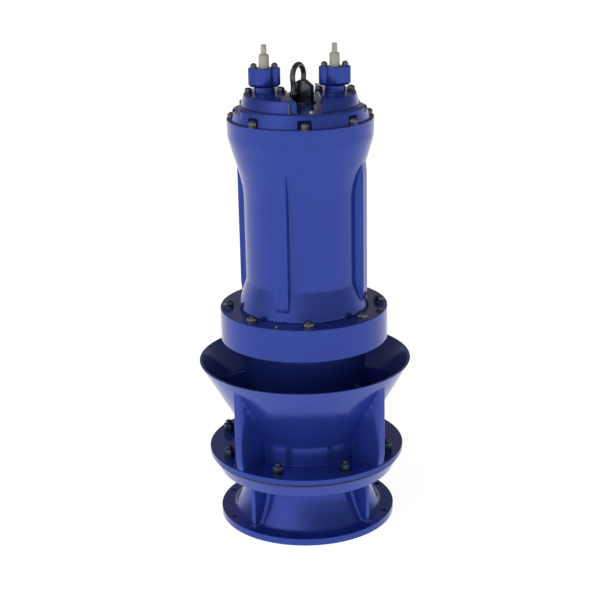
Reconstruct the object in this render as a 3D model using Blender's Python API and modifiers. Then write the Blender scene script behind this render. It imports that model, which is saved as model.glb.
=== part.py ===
"""Submersible axial flow pump, tubular-casing type.

Metres, +Z up. The origin is the bottom centre of the inlet flange, the pump
stands on that flange, and the two cable glands lie on the X axis. The side
that faces -Y is called the front.
"""
from math import atan, cos, pi, radians, sin, tan

import bmesh
import bpy
from mathutils import Matrix, Vector

# Gap between pieces that touch, and facets of a full turn
GAP = 0.0003
TURN = 48

# Inlet bell: flange, trumpet wall and four webs up to the seat ring
FLANGE_R = 0.2347
FLANGE_T = 0.0185
FLANGE_HOLES = 8
FLANGE_HOLE_R = 0.0070
FLANGE_HOLE_CIRCLE = 0.2175
BELL_FOOT_R = 0.1985
BELL_TOP_R = 0.1570
MOUTH_R = 0.1920
THROAT_R = 0.1480
BELL_WEB_R = 0.2145
BELL_WEB_T = 0.0120

# Seat ring: conical seat, groove for the rubber ring, and the rim above it
SEAT_BOTTOM = 0.1405
SEAT_FOOT_R = 0.2350
SEAT_CONE_R = 0.2525
GROOVE_BOTTOM = 0.1755
GROOVE_TOP = 0.1835
GROOVE_R = 0.2490
SEAT_TOP = 0.1975
SEAT_R = 0.2603
SEAT_BORE_R = 0.1520
WEAR_RING_R = 0.1462

# Bowl: neck, 60 degree cone with a thin rim, and four outer ribs
NECK_R = 0.1735
NECK_BORE_R = 0.1500
NECK_FILLET = 0.0120
NECK_BEND = 0.0050
CONE_RIM_R = 0.2800
CONE_RIM_Z = 0.4409
CONE_SLOPE = tan(radians(29.9))
CONE_WALL = 0.0068
RIB_R = 0.2640
RIB_FOOT_R = 0.2580
RIB_T = 0.0220
RIB_TOE = 0.0400

# Propeller and shaft
HUB_R = 0.0600
HUB_BOTTOM = 0.1150
HUB_TOP = 0.2000
HUB_BORE_BOTTOM = 0.1500
NOSE_BOTTOM = 0.0700
BLADES = 4
BLADE_T = 0.0080
BLADE_CHORD = 0.1050
BLADE_PITCH = 0.2400
BLADE_CAMBER = 0.0070
BLADE_TIP_R = 0.1448
SHAFT_R = 0.0250
SHAFT_TOP = 0.3300

# Guide vanes and the hub between them
CORE_BOTTOM = 0.2050
CORE_R = 0.1600
CORE_FULL_Z = 0.3950
VANES = 7
VANE_T = 0.0080
VANE_OUTER_TOP = 0.3700

# Bearing housing, the wide drum between the bowl and the motor
DRUM_R = 0.2196
DRUM_BOTTOM = 0.5011
DRUM_TOP = 0.5873

# Motor housing with its flared foot, tapered head and four bars
MOTOR_R = 0.1495
SKIRT_R = 0.1705
SKIRT_EDGE = 0.5920
SKIRT_TOP = 0.6640
TAPER_BOTTOM = 0.9115
TAPER_TOP = 1.0385
TAPER_BEND = 0.0030
TAPER_BEND_UP = 0.0120
TAPER_BEND_DOWN = 0.0200
HEAD_R = 0.1868
HEAD_TOP = 1.0660
BAR_R = 0.1720
BAR_W = 0.0350
BAR_BOTTOM = 0.6150
BAR_FOOT_R = 0.1600
BAR_SLANT = 0.0160
BAR_ROOT = 0.0120
BAR_END = ((0.0, 0.040), (0.003, 0.014), (0.010, 0.0))
BAR_TOP = 0.9850
BAR_TURN = -22.5

# Motor lid with its flange, conical wall with a flat at each side, and two pads for the cable glands
LID_TOP = 1.0842
LID_FOOT_R = 0.1765
LID_SHOULDER_R = 0.1650
LID_SHOULDER_Z = 1.1215
LID_POCKETS = 8
LID_BOLT_CIRCLE = 0.1730
LID_POCKET_R = 0.0175
LID_POCKET_H = 0.0220
LID_SHOULDER_EDGE = 0.0060
LID_SIDE_X = 0.1520
LID_SIDE_Z = 1.1050
PAD_R = 0.1460
PAD_TOP = 1.1465
PAD_INNER_X = 0.0460
PAD_SINK = 0.0120

# Cable glands at both ends of the X axis, each with a stub of its cable
GLAND_X = 0.0885
GLAND_NECK_R = 0.0265
COLLAR_BOTTOM = 1.1625
COLLAR_TOP = 1.2100
COLLAR_L = 0.0810
COLLAR_W = 0.0540
COLLAR_CORNER = 0.0180
COLLAR_CHAMFER = 0.0060
CABLE_R = 0.0130
CABLE_SEAT = 1.1950
CABLE_TOP = 1.2440
CORE_WIRE_R = 0.0070
CORE_WIRE_TOP = 1.2670

# Lifting lug and its shackle. The shackle pin leaves the front at LUG_TURN, and the lug's plate
# stands across it, LUG_SHIFT further to the right than the pin.
LUG_TURN = -32.0
LUG_X = -0.0035
LUG_SHIFT = 0.0120
LUG_W = 0.0540
LUG_T = 0.0220
LUG_TOP = 1.1780
LUG_CUT = 0.0190
LUG_DROP = 0.0140
LUG_BASE_R = 0.0340
LUG_BASE_T = 0.0030
PIN_Z = 1.1460
PIN_R = 0.0055
LUG_HOLE_R = 0.0063
PIN_HEAD_R = 0.0090
PIN_HEAD_T = 0.0050
PIN_END = 0.0003
PIN_CUT = 0.0600
BOW_WIRE_R = 0.0068
BOW_HALF_GAP = 0.0192
BOW_HALF_W = 0.0290
BOW_TOP = 1.2157
BOW_LEG_LOW = 0.0040
BOW_LEG_HIGH = 0.0190
BOW_BEND = 0.0050
EYE_R = 0.0095

# Paint and metal colours, linear
BLUE = (0.030, 0.062, 0.320, 1.0)
DARK_BLUE = (0.012, 0.024, 0.130, 1.0)
RUBBER = (0.010, 0.010, 0.012, 1.0)
BRONZE = (0.450, 0.260, 0.100, 1.0)
STEEL = (0.480, 0.490, 0.500, 1.0)
BLACK_STEEL = (0.025, 0.028, 0.030, 1.0)
SHEATH_GREY = (0.330, 0.330, 0.300, 1.0)


def clear_scene():
    for item in list(bpy.data.objects):
        bpy.data.objects.remove(item, do_unlink=True)


def new_collection(name):
    group = bpy.data.collections.new(name)
    bpy.context.scene.collection.children.link(group)
    return group


def new_material(name, colour, roughness, metallic):
    material = bpy.data.materials.new(name)
    material.use_nodes = True
    shader = material.node_tree.nodes["Principled BSDF"]
    shader.inputs["Base Color"].default_value = colour
    shader.inputs["Roughness"].default_value = roughness
    shader.inputs["Metallic"].default_value = metallic
    return material


def new_object(name, mesh, group, material=None):
    item = bpy.data.objects.new(name, mesh)
    group.objects.link(item)
    if material is not None:
        mesh.materials.append(material)
    return item


def mesh_from(name, build):
    """A mesh made by build, which is given an empty bmesh."""
    shape = bmesh.new()
    build(shape)
    mesh = bpy.data.meshes.new(name)
    bmesh.ops.recalc_face_normals(shape, faces=shape.faces)
    shape.to_mesh(mesh)
    shape.free()
    return mesh


def smooth(item, angle=35.0):
    item.data.shade_smooth()
    item.data.set_sharp_from_angle(angle=radians(angle))


def turned(name, profile, group, material=None, steps=TURN, closed=False):
    """A turned solid: profile points are (radius, height), top to bottom on the outside."""
    points = [Vector((radius, 0.0, height)) for radius, height in profile]
    mesh = bpy.data.meshes.new(name)
    edges = [(i, i + 1) for i in range(len(points) - 1)]
    if closed:
        edges.append((len(points) - 1, 0))
    mesh.from_pydata(points, edges, [])
    item = new_object(name, mesh, group, material)
    screw = item.modifiers.new("Turn", "SCREW")
    screw.axis = "Z"
    screw.steps = steps
    screw.render_steps = steps
    screw.use_merge_vertices = True
    screw.merge_threshold = 0.00001
    return item


def applied(item):
    """Replace the object's mesh by what its modifiers make of it."""
    bpy.context.view_layer.update()
    graph = bpy.context.evaluated_depsgraph_get()
    mesh = bpy.data.meshes.new_from_object(item.evaluated_get(graph))
    shape = bmesh.new()
    shape.from_mesh(mesh)
    bmesh.ops.remove_doubles(shape, verts=shape.verts, dist=0.000005)
    bmesh.ops.recalc_face_normals(shape, faces=shape.faces)
    shape.to_mesh(mesh)
    shape.free()
    item.modifiers.clear()
    item.data = mesh
    return item


def boolean(item, tool, operation):
    change = item.modifiers.new(operation.title(), "BOOLEAN")
    change.operation = operation
    change.object = tool
    change.solver = "EXACT"
    tool.hide_render = True
    tool.display_type = "WIRE"


def cylinder(name, radius, bottom, top, group, material=None, centre=(0.0, 0.0), sides=TURN):
    def build(shape):
        bmesh.ops.create_cone(shape, cap_ends=True, segments=sides, radius1=radius,
                              radius2=radius, depth=top - bottom)
        middle = Vector((centre[0], centre[1], (top + bottom) / 2))
        bmesh.ops.translate(shape, verts=shape.verts, vec=middle)
    return new_object(name, mesh_from(name, build), group, material)


def plate(name, outline, thickness, turn, group, material=None):
    """A flat plate: outline points are (radius, height), and it stands at an angle to -Y."""
    def build(shape):
        corners = [shape.verts.new((0.0, -radius, height)) for radius, height in outline]
        face = shape.faces.new(corners)
        grown = bmesh.ops.extrude_face_region(shape, geom=[face])
        moved = [part for part in grown["geom"] if isinstance(part, bmesh.types.BMVert)]
        bmesh.ops.translate(shape, verts=moved, vec=(thickness, 0.0, 0.0))
        bmesh.ops.translate(shape, verts=shape.verts, vec=(-thickness / 2, 0.0, 0.0))
        bmesh.ops.rotate(shape, verts=shape.verts, matrix=Matrix.Rotation(radians(turn), 3, "Z"))
    return new_object(name, mesh_from(name, build), group, material)


def curved(low, high, start, end, steps, power=2.0):
    """Points of a trumpet wall from (low, start) to (high, end), bending more near start."""
    points = []
    for i in range(steps + 1):
        share = i / steps
        radius = high + (low - high) * (1 - share) ** power
        points.append((radius, start + (end - start) * share))
    return points


def cone_radius(height):
    """Outer radius of the bowl's cone at a height."""
    return CONE_RIM_R - CONE_SLOPE * (CONE_RIM_Z - height)


def cone_height(radius):
    return CONE_RIM_Z - (CONE_RIM_R - radius) / CONE_SLOPE


def core_profile():
    """Outer wall of the hub between the vanes, from the bottom up."""
    points = []
    steps = 8
    for i in range(steps + 1):
        share = i / steps
        blend = share * share * (3 - 2 * share)
        height = CORE_BOTTOM + (CORE_FULL_Z - CORE_BOTTOM) * share
        points.append((HUB_R + (CORE_R - HUB_R) * blend, height))
    return points


def make_inlet_flange(group, tools, material):
    """The base flange, a flat ring round the foot of the bell."""
    profile = [(BELL_FOOT_R + GAP, FLANGE_T), (FLANGE_R, FLANGE_T), (FLANGE_R, 0.0),
               (BELL_FOOT_R + GAP, 0.0)]
    flange = applied(turned("inlet_flange", profile, group, material, closed=True))
    for i in range(FLANGE_HOLES):
        turn = radians(22.5 + 45 * i)
        centre = (FLANGE_HOLE_CIRCLE * sin(turn), -FLANGE_HOLE_CIRCLE * cos(turn))
        hole = cylinder(f"flange_hole_{i + 1}", FLANGE_HOLE_R, -0.01, FLANGE_T + 0.01, tools,
                        centre=centre, sides=12)
        boolean(flange, hole, "DIFFERENCE")
    smooth(flange)


def make_inlet_bell(group, material):
    """The trumpet wall, and the four webs between the flange and the seat ring."""
    outer = curved(BELL_FOOT_R, BELL_TOP_R, FLANGE_T, SEAT_BOTTOM - GAP, 8)
    inner = curved(MOUTH_R, THROAT_R, 0.0, SEAT_BOTTOM - GAP, 8)
    profile = outer[::-1] + [(BELL_FOOT_R, 0.0)] + inner
    smooth(applied(turned("inlet_bell", profile, group, material, closed=True)))
    wall = [(radius + 2 * GAP, height) for radius, height in outer[1:]]
    foot = FLANGE_T + GAP
    outline = [(BELL_FOOT_R + 2 * GAP, foot)] + wall + [(BELL_WEB_R, SEAT_BOTTOM - GAP),
                                                       (BELL_WEB_R, foot)]
    for i in range(4):
        smooth(plate(f"bell_web_{i + 1}", outline, BELL_WEB_T, 45 + 90 * i, group, material))


def make_seat(group, blue, rubber, bronze):
    profile = [(SEAT_BORE_R, SEAT_TOP), (SEAT_R, SEAT_TOP), (SEAT_R, GROOVE_TOP),
               (GROOVE_R, GROOVE_TOP), (GROOVE_R, GROOVE_BOTTOM), (SEAT_CONE_R, GROOVE_BOTTOM),
               (SEAT_FOOT_R, SEAT_BOTTOM), (SEAT_BORE_R, SEAT_BOTTOM)]
    smooth(applied(turned("seat_ring", profile, group, blue, closed=True)))
    ring_r = (GROOVE_TOP - GROOVE_BOTTOM) / 2 - GAP
    middle = (GROOVE_TOP + GROOVE_BOTTOM) / 2
    centre = GROOVE_R + ring_r + GAP
    section = [(centre + ring_r * sin(2 * pi * i / 8), middle + ring_r * cos(2 * pi * i / 8))
               for i in range(8)]
    smooth(applied(turned("seat_rubber_ring", section, group, rubber, closed=True)), 60)
    low = SEAT_BOTTOM + GAP
    high = SEAT_TOP - GAP
    profile = [(WEAR_RING_R, high), (SEAT_BORE_R - GAP, high), (SEAT_BORE_R - GAP, low),
               (WEAR_RING_R, low)]
    smooth(applied(turned("wear_ring", profile, group, bronze, closed=True)))


def make_bowl(group, material):
    """The neck, the cone that stands on it, and the four ribs outside them."""
    bottom = SEAT_TOP + GAP
    split = cone_height(NECK_R) - NECK_BEND
    foot = [(NECK_R, bottom + NECK_FILLET), (NECK_R + NECK_FILLET / 3, bottom + NECK_FILLET / 3),
            (NECK_R + NECK_FILLET, bottom)]
    bore = [(NECK_BORE_R, bottom), (NECK_BORE_R, cone_height(NECK_BORE_R + CONE_WALL)),
            (cone_radius(split) - CONE_WALL, split)]
    profile = [(NECK_R, split)] + foot + bore
    smooth(applied(turned("bowl_neck", profile, group, material, closed=True)))
    bend_r = NECK_R + NECK_BEND / 2
    bend = (bend_r, cone_height(bend_r))
    profile = [(CONE_RIM_R - CONE_WALL, CONE_RIM_Z), (CONE_RIM_R, CONE_RIM_Z), bend,
               (NECK_R, split + GAP), (cone_radius(split + GAP) - CONE_WALL, split + GAP)]
    smooth(applied(turned("bowl_cone", profile, group, material, closed=True)))
    inner = [(NECK_R, split), bend, (RIB_R, cone_height(RIB_R))]
    clear = [(radius + 2 * GAP, height) for radius, height in foot[::-1] + inner]
    outline = clear + [(RIB_R, bottom + RIB_TOE), (RIB_FOOT_R, bottom)]
    for i in range(4):
        smooth(plate(f"bowl_rib_{i + 1}", outline, RIB_T, 45 + 90 * i, group, material))


def make_propeller(group, tools, bronze, steel):
    profile = [(SHAFT_R + GAP, HUB_TOP), (HUB_R, HUB_TOP), (HUB_R, HUB_BOTTOM),
               (0.0, HUB_BOTTOM), (0.0, HUB_BORE_BOTTOM), (SHAFT_R + GAP, HUB_BORE_BOTTOM)]
    smooth(applied(turned("propeller_hub", profile, group, bronze, closed=True)))
    steps = 7
    nose = []
    for i in range(steps + 1):
        turn = pi / 2 * i / steps
        nose.append((HUB_R * cos(turn), HUB_BOTTOM - GAP - (HUB_BOTTOM - NOSE_BOTTOM) * sin(turn)))
    nose[-1] = (0.0, nose[-1][1])
    profile = [(0.0, HUB_BOTTOM - GAP)] + nose
    smooth(applied(turned("propeller_nose", profile, group, bronze)))
    root = cylinder("blade_root_cut", HUB_R + GAP, 0.0, SHAFT_TOP, tools, sides=2 * TURN)
    tip = cylinder("blade_tip_cut", BLADE_TIP_R, 0.0, SHAFT_TOP, tools, sides=2 * TURN)
    middle = (HUB_BOTTOM + HUB_TOP) / 2
    for i in range(BLADES):
        blade = make_blade(f"propeller_blade_{i + 1}", 360 / BLADES * i, middle, group, bronze)
        boolean(blade, root, "DIFFERENCE")
        boolean(blade, tip, "INTERSECT")
        smooth(blade)
    low = HUB_BORE_BOTTOM + GAP
    profile = [(0.0, SHAFT_TOP), (SHAFT_R, SHAFT_TOP), (SHAFT_R, low), (0.0, low)]
    smooth(applied(turned("pump_shaft", profile, group, steel)))


def make_blade(name, turn, middle, group, material):
    """A twisted blade: each section lies on a cylinder and follows the propeller's pitch."""
    beyond = 0.012
    root_share = 0.75
    tip_share = 1.10

    def build(shape):
        bmesh.ops.create_grid(shape, x_segments=4, y_segments=5, size=0.5)
        for vert in shape.verts:
            outward = vert.co.x + 0.5
            radius = HUB_R - beyond + (BLADE_TIP_R - HUB_R + 2 * beyond) * outward
            slope = atan(BLADE_PITCH / (2 * pi * radius))
            reach = BLADE_CHORD * vert.co.y * (root_share + (tip_share - root_share) * outward)
            angle = radians(turn) + reach * cos(slope) / radius
            camber = BLADE_CAMBER * (1 - (2 * vert.co.y) ** 2)
            vert.co = Vector((radius * sin(angle), -radius * cos(angle),
                              middle + reach * sin(slope) + camber))
    blade = new_object(name, mesh_from(name, build), group, material)
    shell = blade.modifiers.new("Thickness", "SOLIDIFY")
    shell.thickness = BLADE_T
    shell.offset = 0.0
    return applied(blade)


def make_diffuser_core(group, material):
    top = DRUM_BOTTOM - GAP
    bore_r = SHAFT_R + GAP
    bore_end = SHAFT_TOP + GAP
    profile = [(0.0, top), (CORE_R, top)] + core_profile()[::-1]
    profile += [(bore_r, CORE_BOTTOM), (bore_r, bore_end), (0.0, bore_end)]
    smooth(applied(turned("diffuser_core", profile, group, material, closed=True)))


def make_vanes(group, material):
    """Straight vanes that fill the passage between the core and the cone."""
    clear = 0.0008
    inner = [(radius + 2 * GAP, height) for radius, height in core_profile()[2:]]
    bottom = inner[0][1]
    outer_top = (cone_radius(VANE_OUTER_TOP) - CONE_WALL - clear, VANE_OUTER_TOP)
    outer_low = (cone_radius(bottom) - CONE_WALL - clear, bottom)
    outline = inner + [outer_top, outer_low]
    for i in range(VANES):
        vane = plate(f"guide_vane_{i + 1}", outline, VANE_T, 360 / VANES * i, group, material)
        smooth(vane)


def make_drum(group, material):
    edge = 0.002
    profile = [(0.0, DRUM_TOP), (DRUM_R - edge, DRUM_TOP), (DRUM_R, DRUM_TOP - edge),
               (DRUM_R, DRUM_BOTTOM + edge), (DRUM_R - edge, DRUM_BOTTOM), (0.0, DRUM_BOTTOM)]
    smooth(applied(turned("bearing_housing", profile, group, material)))


def make_motor(group, tools, material):
    profile = [(0.0, HEAD_TOP), (HEAD_R, HEAD_TOP), (HEAD_R, TAPER_TOP),
               (MOTOR_R + TAPER_BEND, TAPER_BOTTOM + TAPER_BEND_UP),
               (MOTOR_R, TAPER_BOTTOM - TAPER_BEND_DOWN)]
    profile += [(MOTOR_R, SKIRT_TOP), (SKIRT_R, SKIRT_EDGE), (SKIRT_R, DRUM_TOP + GAP),
                (0.0, DRUM_TOP + GAP)]
    housing = applied(turned("motor_housing", profile, group, material))
    inside = MOTOR_R - BAR_ROOT
    outline = [(inside, BAR_BOTTOM), (BAR_FOOT_R, BAR_BOTTOM), (BAR_R, BAR_BOTTOM + BAR_SLANT)]
    outline += [(BAR_R - back, BAR_TOP - down) for back, down in BAR_END]
    outline.append((inside, BAR_TOP))
    for i in range(4):
        bar = plate(f"motor_bar_{i + 1}", outline, BAR_W, BAR_TURN + 90 * i, tools)
        boolean(housing, bar, "UNION")
    smooth(housing)


def side_cutter(side, group):
    """The block that is cut away beyond the flat at one side of the lid."""
    reach = 0.1

    def build(shape):
        bmesh.ops.create_cube(shape, size=1.0)
        bmesh.ops.scale(shape, vec=(reach, 4 * reach, reach), verts=shape.verts)
        middle = (side * (LID_SIDE_X + reach / 2), 0.0, LID_SIDE_Z + reach / 2)
        bmesh.ops.translate(shape, vec=middle, verts=shape.verts)
    name = f"lid_side_{side + 2}"
    return new_object(name, mesh_from(name, build), group)


def make_lid(group, tools, material):
    profile = [(0.0, LID_SHOULDER_Z), (LID_SHOULDER_R - LID_SHOULDER_EDGE, LID_SHOULDER_Z),
               (LID_SHOULDER_R, LID_SHOULDER_Z - LID_SHOULDER_EDGE),
               (LID_FOOT_R, LID_TOP), (HEAD_R, LID_TOP), (HEAD_R, HEAD_TOP + GAP),
               (0.0, HEAD_TOP + GAP)]
    lid = applied(turned("motor_lid", profile, group, material))
    pads = cylinder("lid_pads", PAD_R, LID_SHOULDER_Z - PAD_SINK, PAD_TOP, tools)
    split = PAD_INNER_X * 2

    def build(shape):
        bmesh.ops.create_cube(shape, size=1.0)
        bmesh.ops.scale(shape, vec=(split, 0.5, 0.1), verts=shape.verts)
        bmesh.ops.translate(shape, vec=(0.0, 0.0, PAD_TOP), verts=shape.verts)
    channel = new_object("lid_channel", mesh_from("lid_channel", build), tools)
    boolean(pads, channel, "DIFFERENCE")
    pads.hide_render = True
    pads.display_type = "WIRE"
    boolean(lid, pads, "UNION")
    for side in (-1, 1):
        boolean(lid, side_cutter(side, tools), "DIFFERENCE")
    for i in range(LID_POCKETS):
        turn = radians(45 * i)
        centre = (LID_BOLT_CIRCLE * sin(turn), -LID_BOLT_CIRCLE * cos(turn))
        pocket = cylinder(f"lid_pocket_{i + 1}", LID_POCKET_R, LID_TOP, LID_TOP + LID_POCKET_H, tools,
                          centre=centre, sides=12)
        boolean(lid, pocket, "DIFFERENCE")
    smooth(lid)


def make_gland(side, name, group, tools, blue, grey):
    place = (side * GLAND_X, 0.0)
    smooth(cylinder(f"gland_neck_{name}", GLAND_NECK_R, PAD_TOP + GAP, COLLAR_BOTTOM - GAP, group,
                    blue, place, 24))

    def build(shape):
        bmesh.ops.create_cube(shape, size=1.0)
        size = (COLLAR_L, COLLAR_W, COLLAR_TOP - COLLAR_BOTTOM)
        bmesh.ops.scale(shape, vec=size, verts=shape.verts)
        middle = (place[0], 0.0, (COLLAR_TOP + COLLAR_BOTTOM) / 2)
        bmesh.ops.translate(shape, vec=middle, verts=shape.verts)
        upright = [edge for edge in shape.edges
                   if abs(edge.verts[0].co.z - edge.verts[1].co.z) > 0.01]
        bmesh.ops.bevel(shape, geom=upright, offset=COLLAR_CORNER, segments=3, profile=0.5,
                        affect="EDGES")
        low = [edge for edge in shape.edges
               if max(vert.co.z for vert in edge.verts) < COLLAR_BOTTOM + 0.001]
        bmesh.ops.bevel(shape, geom=low, offset=COLLAR_CHAMFER, segments=1, profile=0.5,
                        affect="EDGES")
    title = f"gland_collar_{name}"
    collar = new_object(title, mesh_from(title, build), group, blue)
    seat = cylinder(f"cable_seat_{name}", CABLE_R + GAP, CABLE_SEAT, COLLAR_TOP + 0.01, tools,
                    centre=place, sides=16)
    boolean(collar, seat, "DIFFERENCE")
    smooth(collar)
    smooth(cylinder(f"cable_sheath_{name}", CABLE_R, CABLE_SEAT + GAP, CABLE_TOP, group, grey,
                    place, 16))
    smooth(cylinder(f"cable_core_{name}", CORE_WIRE_R, CABLE_TOP + GAP, CORE_WIRE_TOP, group,
                    grey, place, 12))


def make_lug(group, tools, material):
    base_bottom = LID_SHOULDER_Z + GAP
    base_top = base_bottom + LUG_BASE_T
    across = radians(LUG_TURN + 90)
    centre = (LUG_X + LUG_SHIFT * sin(across), -LUG_SHIFT * cos(across))
    lug = cylinder("lifting_lug", LUG_BASE_R, base_bottom, base_top, group, material, centre, 24)
    left = LUG_SHIFT - LUG_W / 2
    right = LUG_SHIFT + LUG_W / 2
    foot = base_bottom + LUG_BASE_T / 2
    outline = [(left, foot), (right, foot), (right, LUG_TOP - LUG_DROP), (right - LUG_CUT, LUG_TOP),
               (left + LUG_CUT, LUG_TOP), (left, LUG_TOP - LUG_DROP)]
    web = plate("lug_plate", outline, LUG_T, LUG_TURN + 90, tools)
    web.location = (LUG_X, 0.0, 0.0)
    boolean(lug, web, "UNION")
    hole = lying_cylinder("lug_hole", LUG_HOLE_R, -PIN_CUT, PIN_CUT, tools, None, 24)
    boolean(lug, hole, "DIFFERENCE")
    smooth(lug)


def lying_cylinder(name, radius, start, end, group, material, sides):
    """A cylinder on the shackle pin's axis, which leaves the front at LUG_TURN."""
    def build(shape):
        bmesh.ops.create_cone(shape, cap_ends=True, segments=sides, radius1=radius,
                              radius2=radius, depth=end - start)
        bmesh.ops.translate(shape, verts=shape.verts, vec=(0.0, 0.0, (start + end) / 2))
    item = new_object(name, mesh_from(name, build), group, material)
    item.rotation_euler = (pi / 2, 0.0, radians(LUG_TURN))
    item.location = (LUG_X, 0.0, PIN_Z)
    return item


def make_shackle(group, tools, material):
    pivot = bpy.data.objects.new("shackle_axis", None)
    group.objects.link(pivot)
    pivot.location = (LUG_X, 0.0, PIN_Z)
    pivot.rotation_euler = (0.0, 0.0, radians(LUG_TURN))
    eye_middle = BOW_HALF_GAP + BOW_WIRE_R
    arc_start = BOW_TOP - PIN_Z - BOW_HALF_W
    route = [(eye_middle, BOW_LEG_LOW), (eye_middle, BOW_LEG_HIGH),
             ((eye_middle + BOW_HALF_W) / 2, arc_start - BOW_BEND)]
    steps = 8
    for i in range(steps + 1):
        turn = pi * i / steps
        route.append((BOW_HALF_W * cos(turn), arc_start + BOW_HALF_W * sin(turn)))
    route += [(-across, height) for across, height in route[2::-1]]
    curve = bpy.data.curves.new("shackle_wire", "CURVE")
    curve.dimensions = "3D"
    curve.bevel_depth = BOW_WIRE_R
    curve.bevel_resolution = 2
    curve.use_fill_caps = True
    line = curve.splines.new("POLY")
    line.points.add(len(route) - 1)
    for point, (across, height) in zip(line.points, route):
        point.co = (0.0, across, height, 1.0)
    wire = bpy.data.objects.new("shackle_wire", curve)
    tools.objects.link(wire)
    bpy.context.view_layer.update()
    graph = bpy.context.evaluated_depsgraph_get()
    mesh = bpy.data.meshes.new_from_object(wire.evaluated_get(graph))
    shape = bmesh.new()
    shape.from_mesh(mesh)
    bmesh.ops.remove_doubles(shape, verts=shape.verts, dist=0.00002)
    shape.to_mesh(mesh)
    shape.free()
    bpy.data.objects.remove(wire, do_unlink=True)
    bow = new_object("shackle_bow", mesh, group, material)
    bow.parent = pivot
    for side in (-1, 1):
        start = side * eye_middle - BOW_WIRE_R
        eye = lying_cylinder(f"shackle_eye_{side + 2}", EYE_R, start, start + 2 * BOW_WIRE_R,
                             tools, None, 20)
        boolean(bow, eye, "UNION")
    hole = lying_cylinder("shackle_hole", PIN_R + GAP, -PIN_CUT, PIN_CUT, tools, None, 24)
    boolean(bow, hole, "DIFFERENCE")
    smooth(bow)
    reach = BOW_HALF_GAP + 2 * BOW_WIRE_R
    pin = lying_cylinder("shackle_pin", PIN_R, -reach - PIN_HEAD_T / 2, reach + PIN_END, group,
                         material, 24)
    head = lying_cylinder("pin_head", PIN_HEAD_R, -reach - PIN_HEAD_T, -reach - GAP, tools, None, 20)
    boolean(pin, head, "UNION")
    smooth(pin)


def main():
    clear_scene()
    group = new_collection("submersible_axial_flow_pump")
    tools = new_collection("cutters")
    blue = new_material("blue_enamel", BLUE, 0.35, 0.0)
    dark_blue = new_material("blue_enamel_in_water_path", DARK_BLUE, 0.40, 0.0)
    rubber = new_material("nitrile_rubber", RUBBER, 0.70, 0.0)
    bronze = new_material("cast_bronze", BRONZE, 0.40, 1.0)
    steel = new_material("stainless_steel", STEEL, 0.30, 1.0)
    black = new_material("blackened_steel", BLACK_STEEL, 0.45, 0.6)
    grey = new_material("cable_sheath", SHEATH_GREY, 0.60, 0.0)
    make_inlet_flange(group, tools, blue)
    make_inlet_bell(group, blue)
    make_seat(group, blue, rubber, bronze)
    make_bowl(group, blue)
    make_propeller(group, tools, bronze, steel)
    make_diffuser_core(group, dark_blue)
    make_vanes(group, dark_blue)
    make_drum(group, blue)
    make_motor(group, tools, blue)
    make_lid(group, tools, blue)
    make_gland(-1, "left", group, tools, blue, grey)
    make_gland(1, "right", group, tools, blue, grey)
    make_lug(group, tools, black)
    make_shackle(group, tools, black)


main()
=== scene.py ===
"""Looks of an upright submersible axial flow pump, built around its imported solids.

Metres, +Z up. The pump stands on its inlet flange, its shaft is the Z axis, the two cable glands lie
on the X axis and the front faces -Y. Angles round the shaft are in degrees from the front, positive
towards +X. The camera, lights and floor come last and belong to the picture only.
"""
from __future__ import annotations

import logging
from dataclasses import dataclass
from enum import Enum
from math import asin, atan, cos, degrees, hypot, pi, radians, sin, sqrt, tan
from typing import Callable, Iterable, Sequence

import bmesh
import bpy
import numpy as np
from mathutils import Matrix, Vector


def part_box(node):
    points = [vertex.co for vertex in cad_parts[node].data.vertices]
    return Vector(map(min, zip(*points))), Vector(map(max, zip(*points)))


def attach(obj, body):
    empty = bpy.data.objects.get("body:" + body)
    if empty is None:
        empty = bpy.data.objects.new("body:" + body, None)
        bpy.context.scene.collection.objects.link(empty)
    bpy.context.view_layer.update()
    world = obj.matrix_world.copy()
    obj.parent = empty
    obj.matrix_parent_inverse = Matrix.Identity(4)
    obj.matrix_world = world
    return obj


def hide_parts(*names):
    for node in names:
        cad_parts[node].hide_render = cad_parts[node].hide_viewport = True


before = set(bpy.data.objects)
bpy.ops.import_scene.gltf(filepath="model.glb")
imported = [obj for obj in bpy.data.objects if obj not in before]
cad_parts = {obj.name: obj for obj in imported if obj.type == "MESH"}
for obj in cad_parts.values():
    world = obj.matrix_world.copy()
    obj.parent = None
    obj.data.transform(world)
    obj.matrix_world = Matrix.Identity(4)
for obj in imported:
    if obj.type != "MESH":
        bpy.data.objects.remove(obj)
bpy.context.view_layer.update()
LOG = logging.getLogger("pump")

MM = 0.001
# Space between two pieces that touch on the real pump
GAP = 0.3 * MM
# Points nearer to each other than this are one
MERGE = 0.01 * MM
FULL_TURN = 2 * pi
# Edges sharper than this many degrees stay sharp
SMOOTH_ANGLE = 32.0
Point = tuple[float, float]


class Body(Enum):
    """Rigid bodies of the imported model."""

    PUMP = "pump"
    SHACKLE = "shackle"


class Slot(Enum):
    """Material slots of the record."""

    ENAMEL = "blue_enamel"
    WATER_PATH = "blue_enamel_in_water_path"
    BRONZE = "cast_bronze"
    STAINLESS = "stainless_steel"
    RUBBER = "nitrile_rubber"
    SHEATH = "cable_sheath"
    BLACK_STEEL = "blackened_steel"


@dataclass(frozen=True)
class Extent:
    """Outer radius, foot and top of a round CAD node."""

    radius: float
    low: float
    high: float

    @classmethod
    def of(cls, node: str) -> Extent:
        """Measure a node that is centred on the shaft.

        Args:
            node: name of the CAD node.
        Returns:
            Its radius and heights.
        """
        low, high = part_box(node)
        return cls(high.x, low.z, high.z)


# Colour and material nodes


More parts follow.
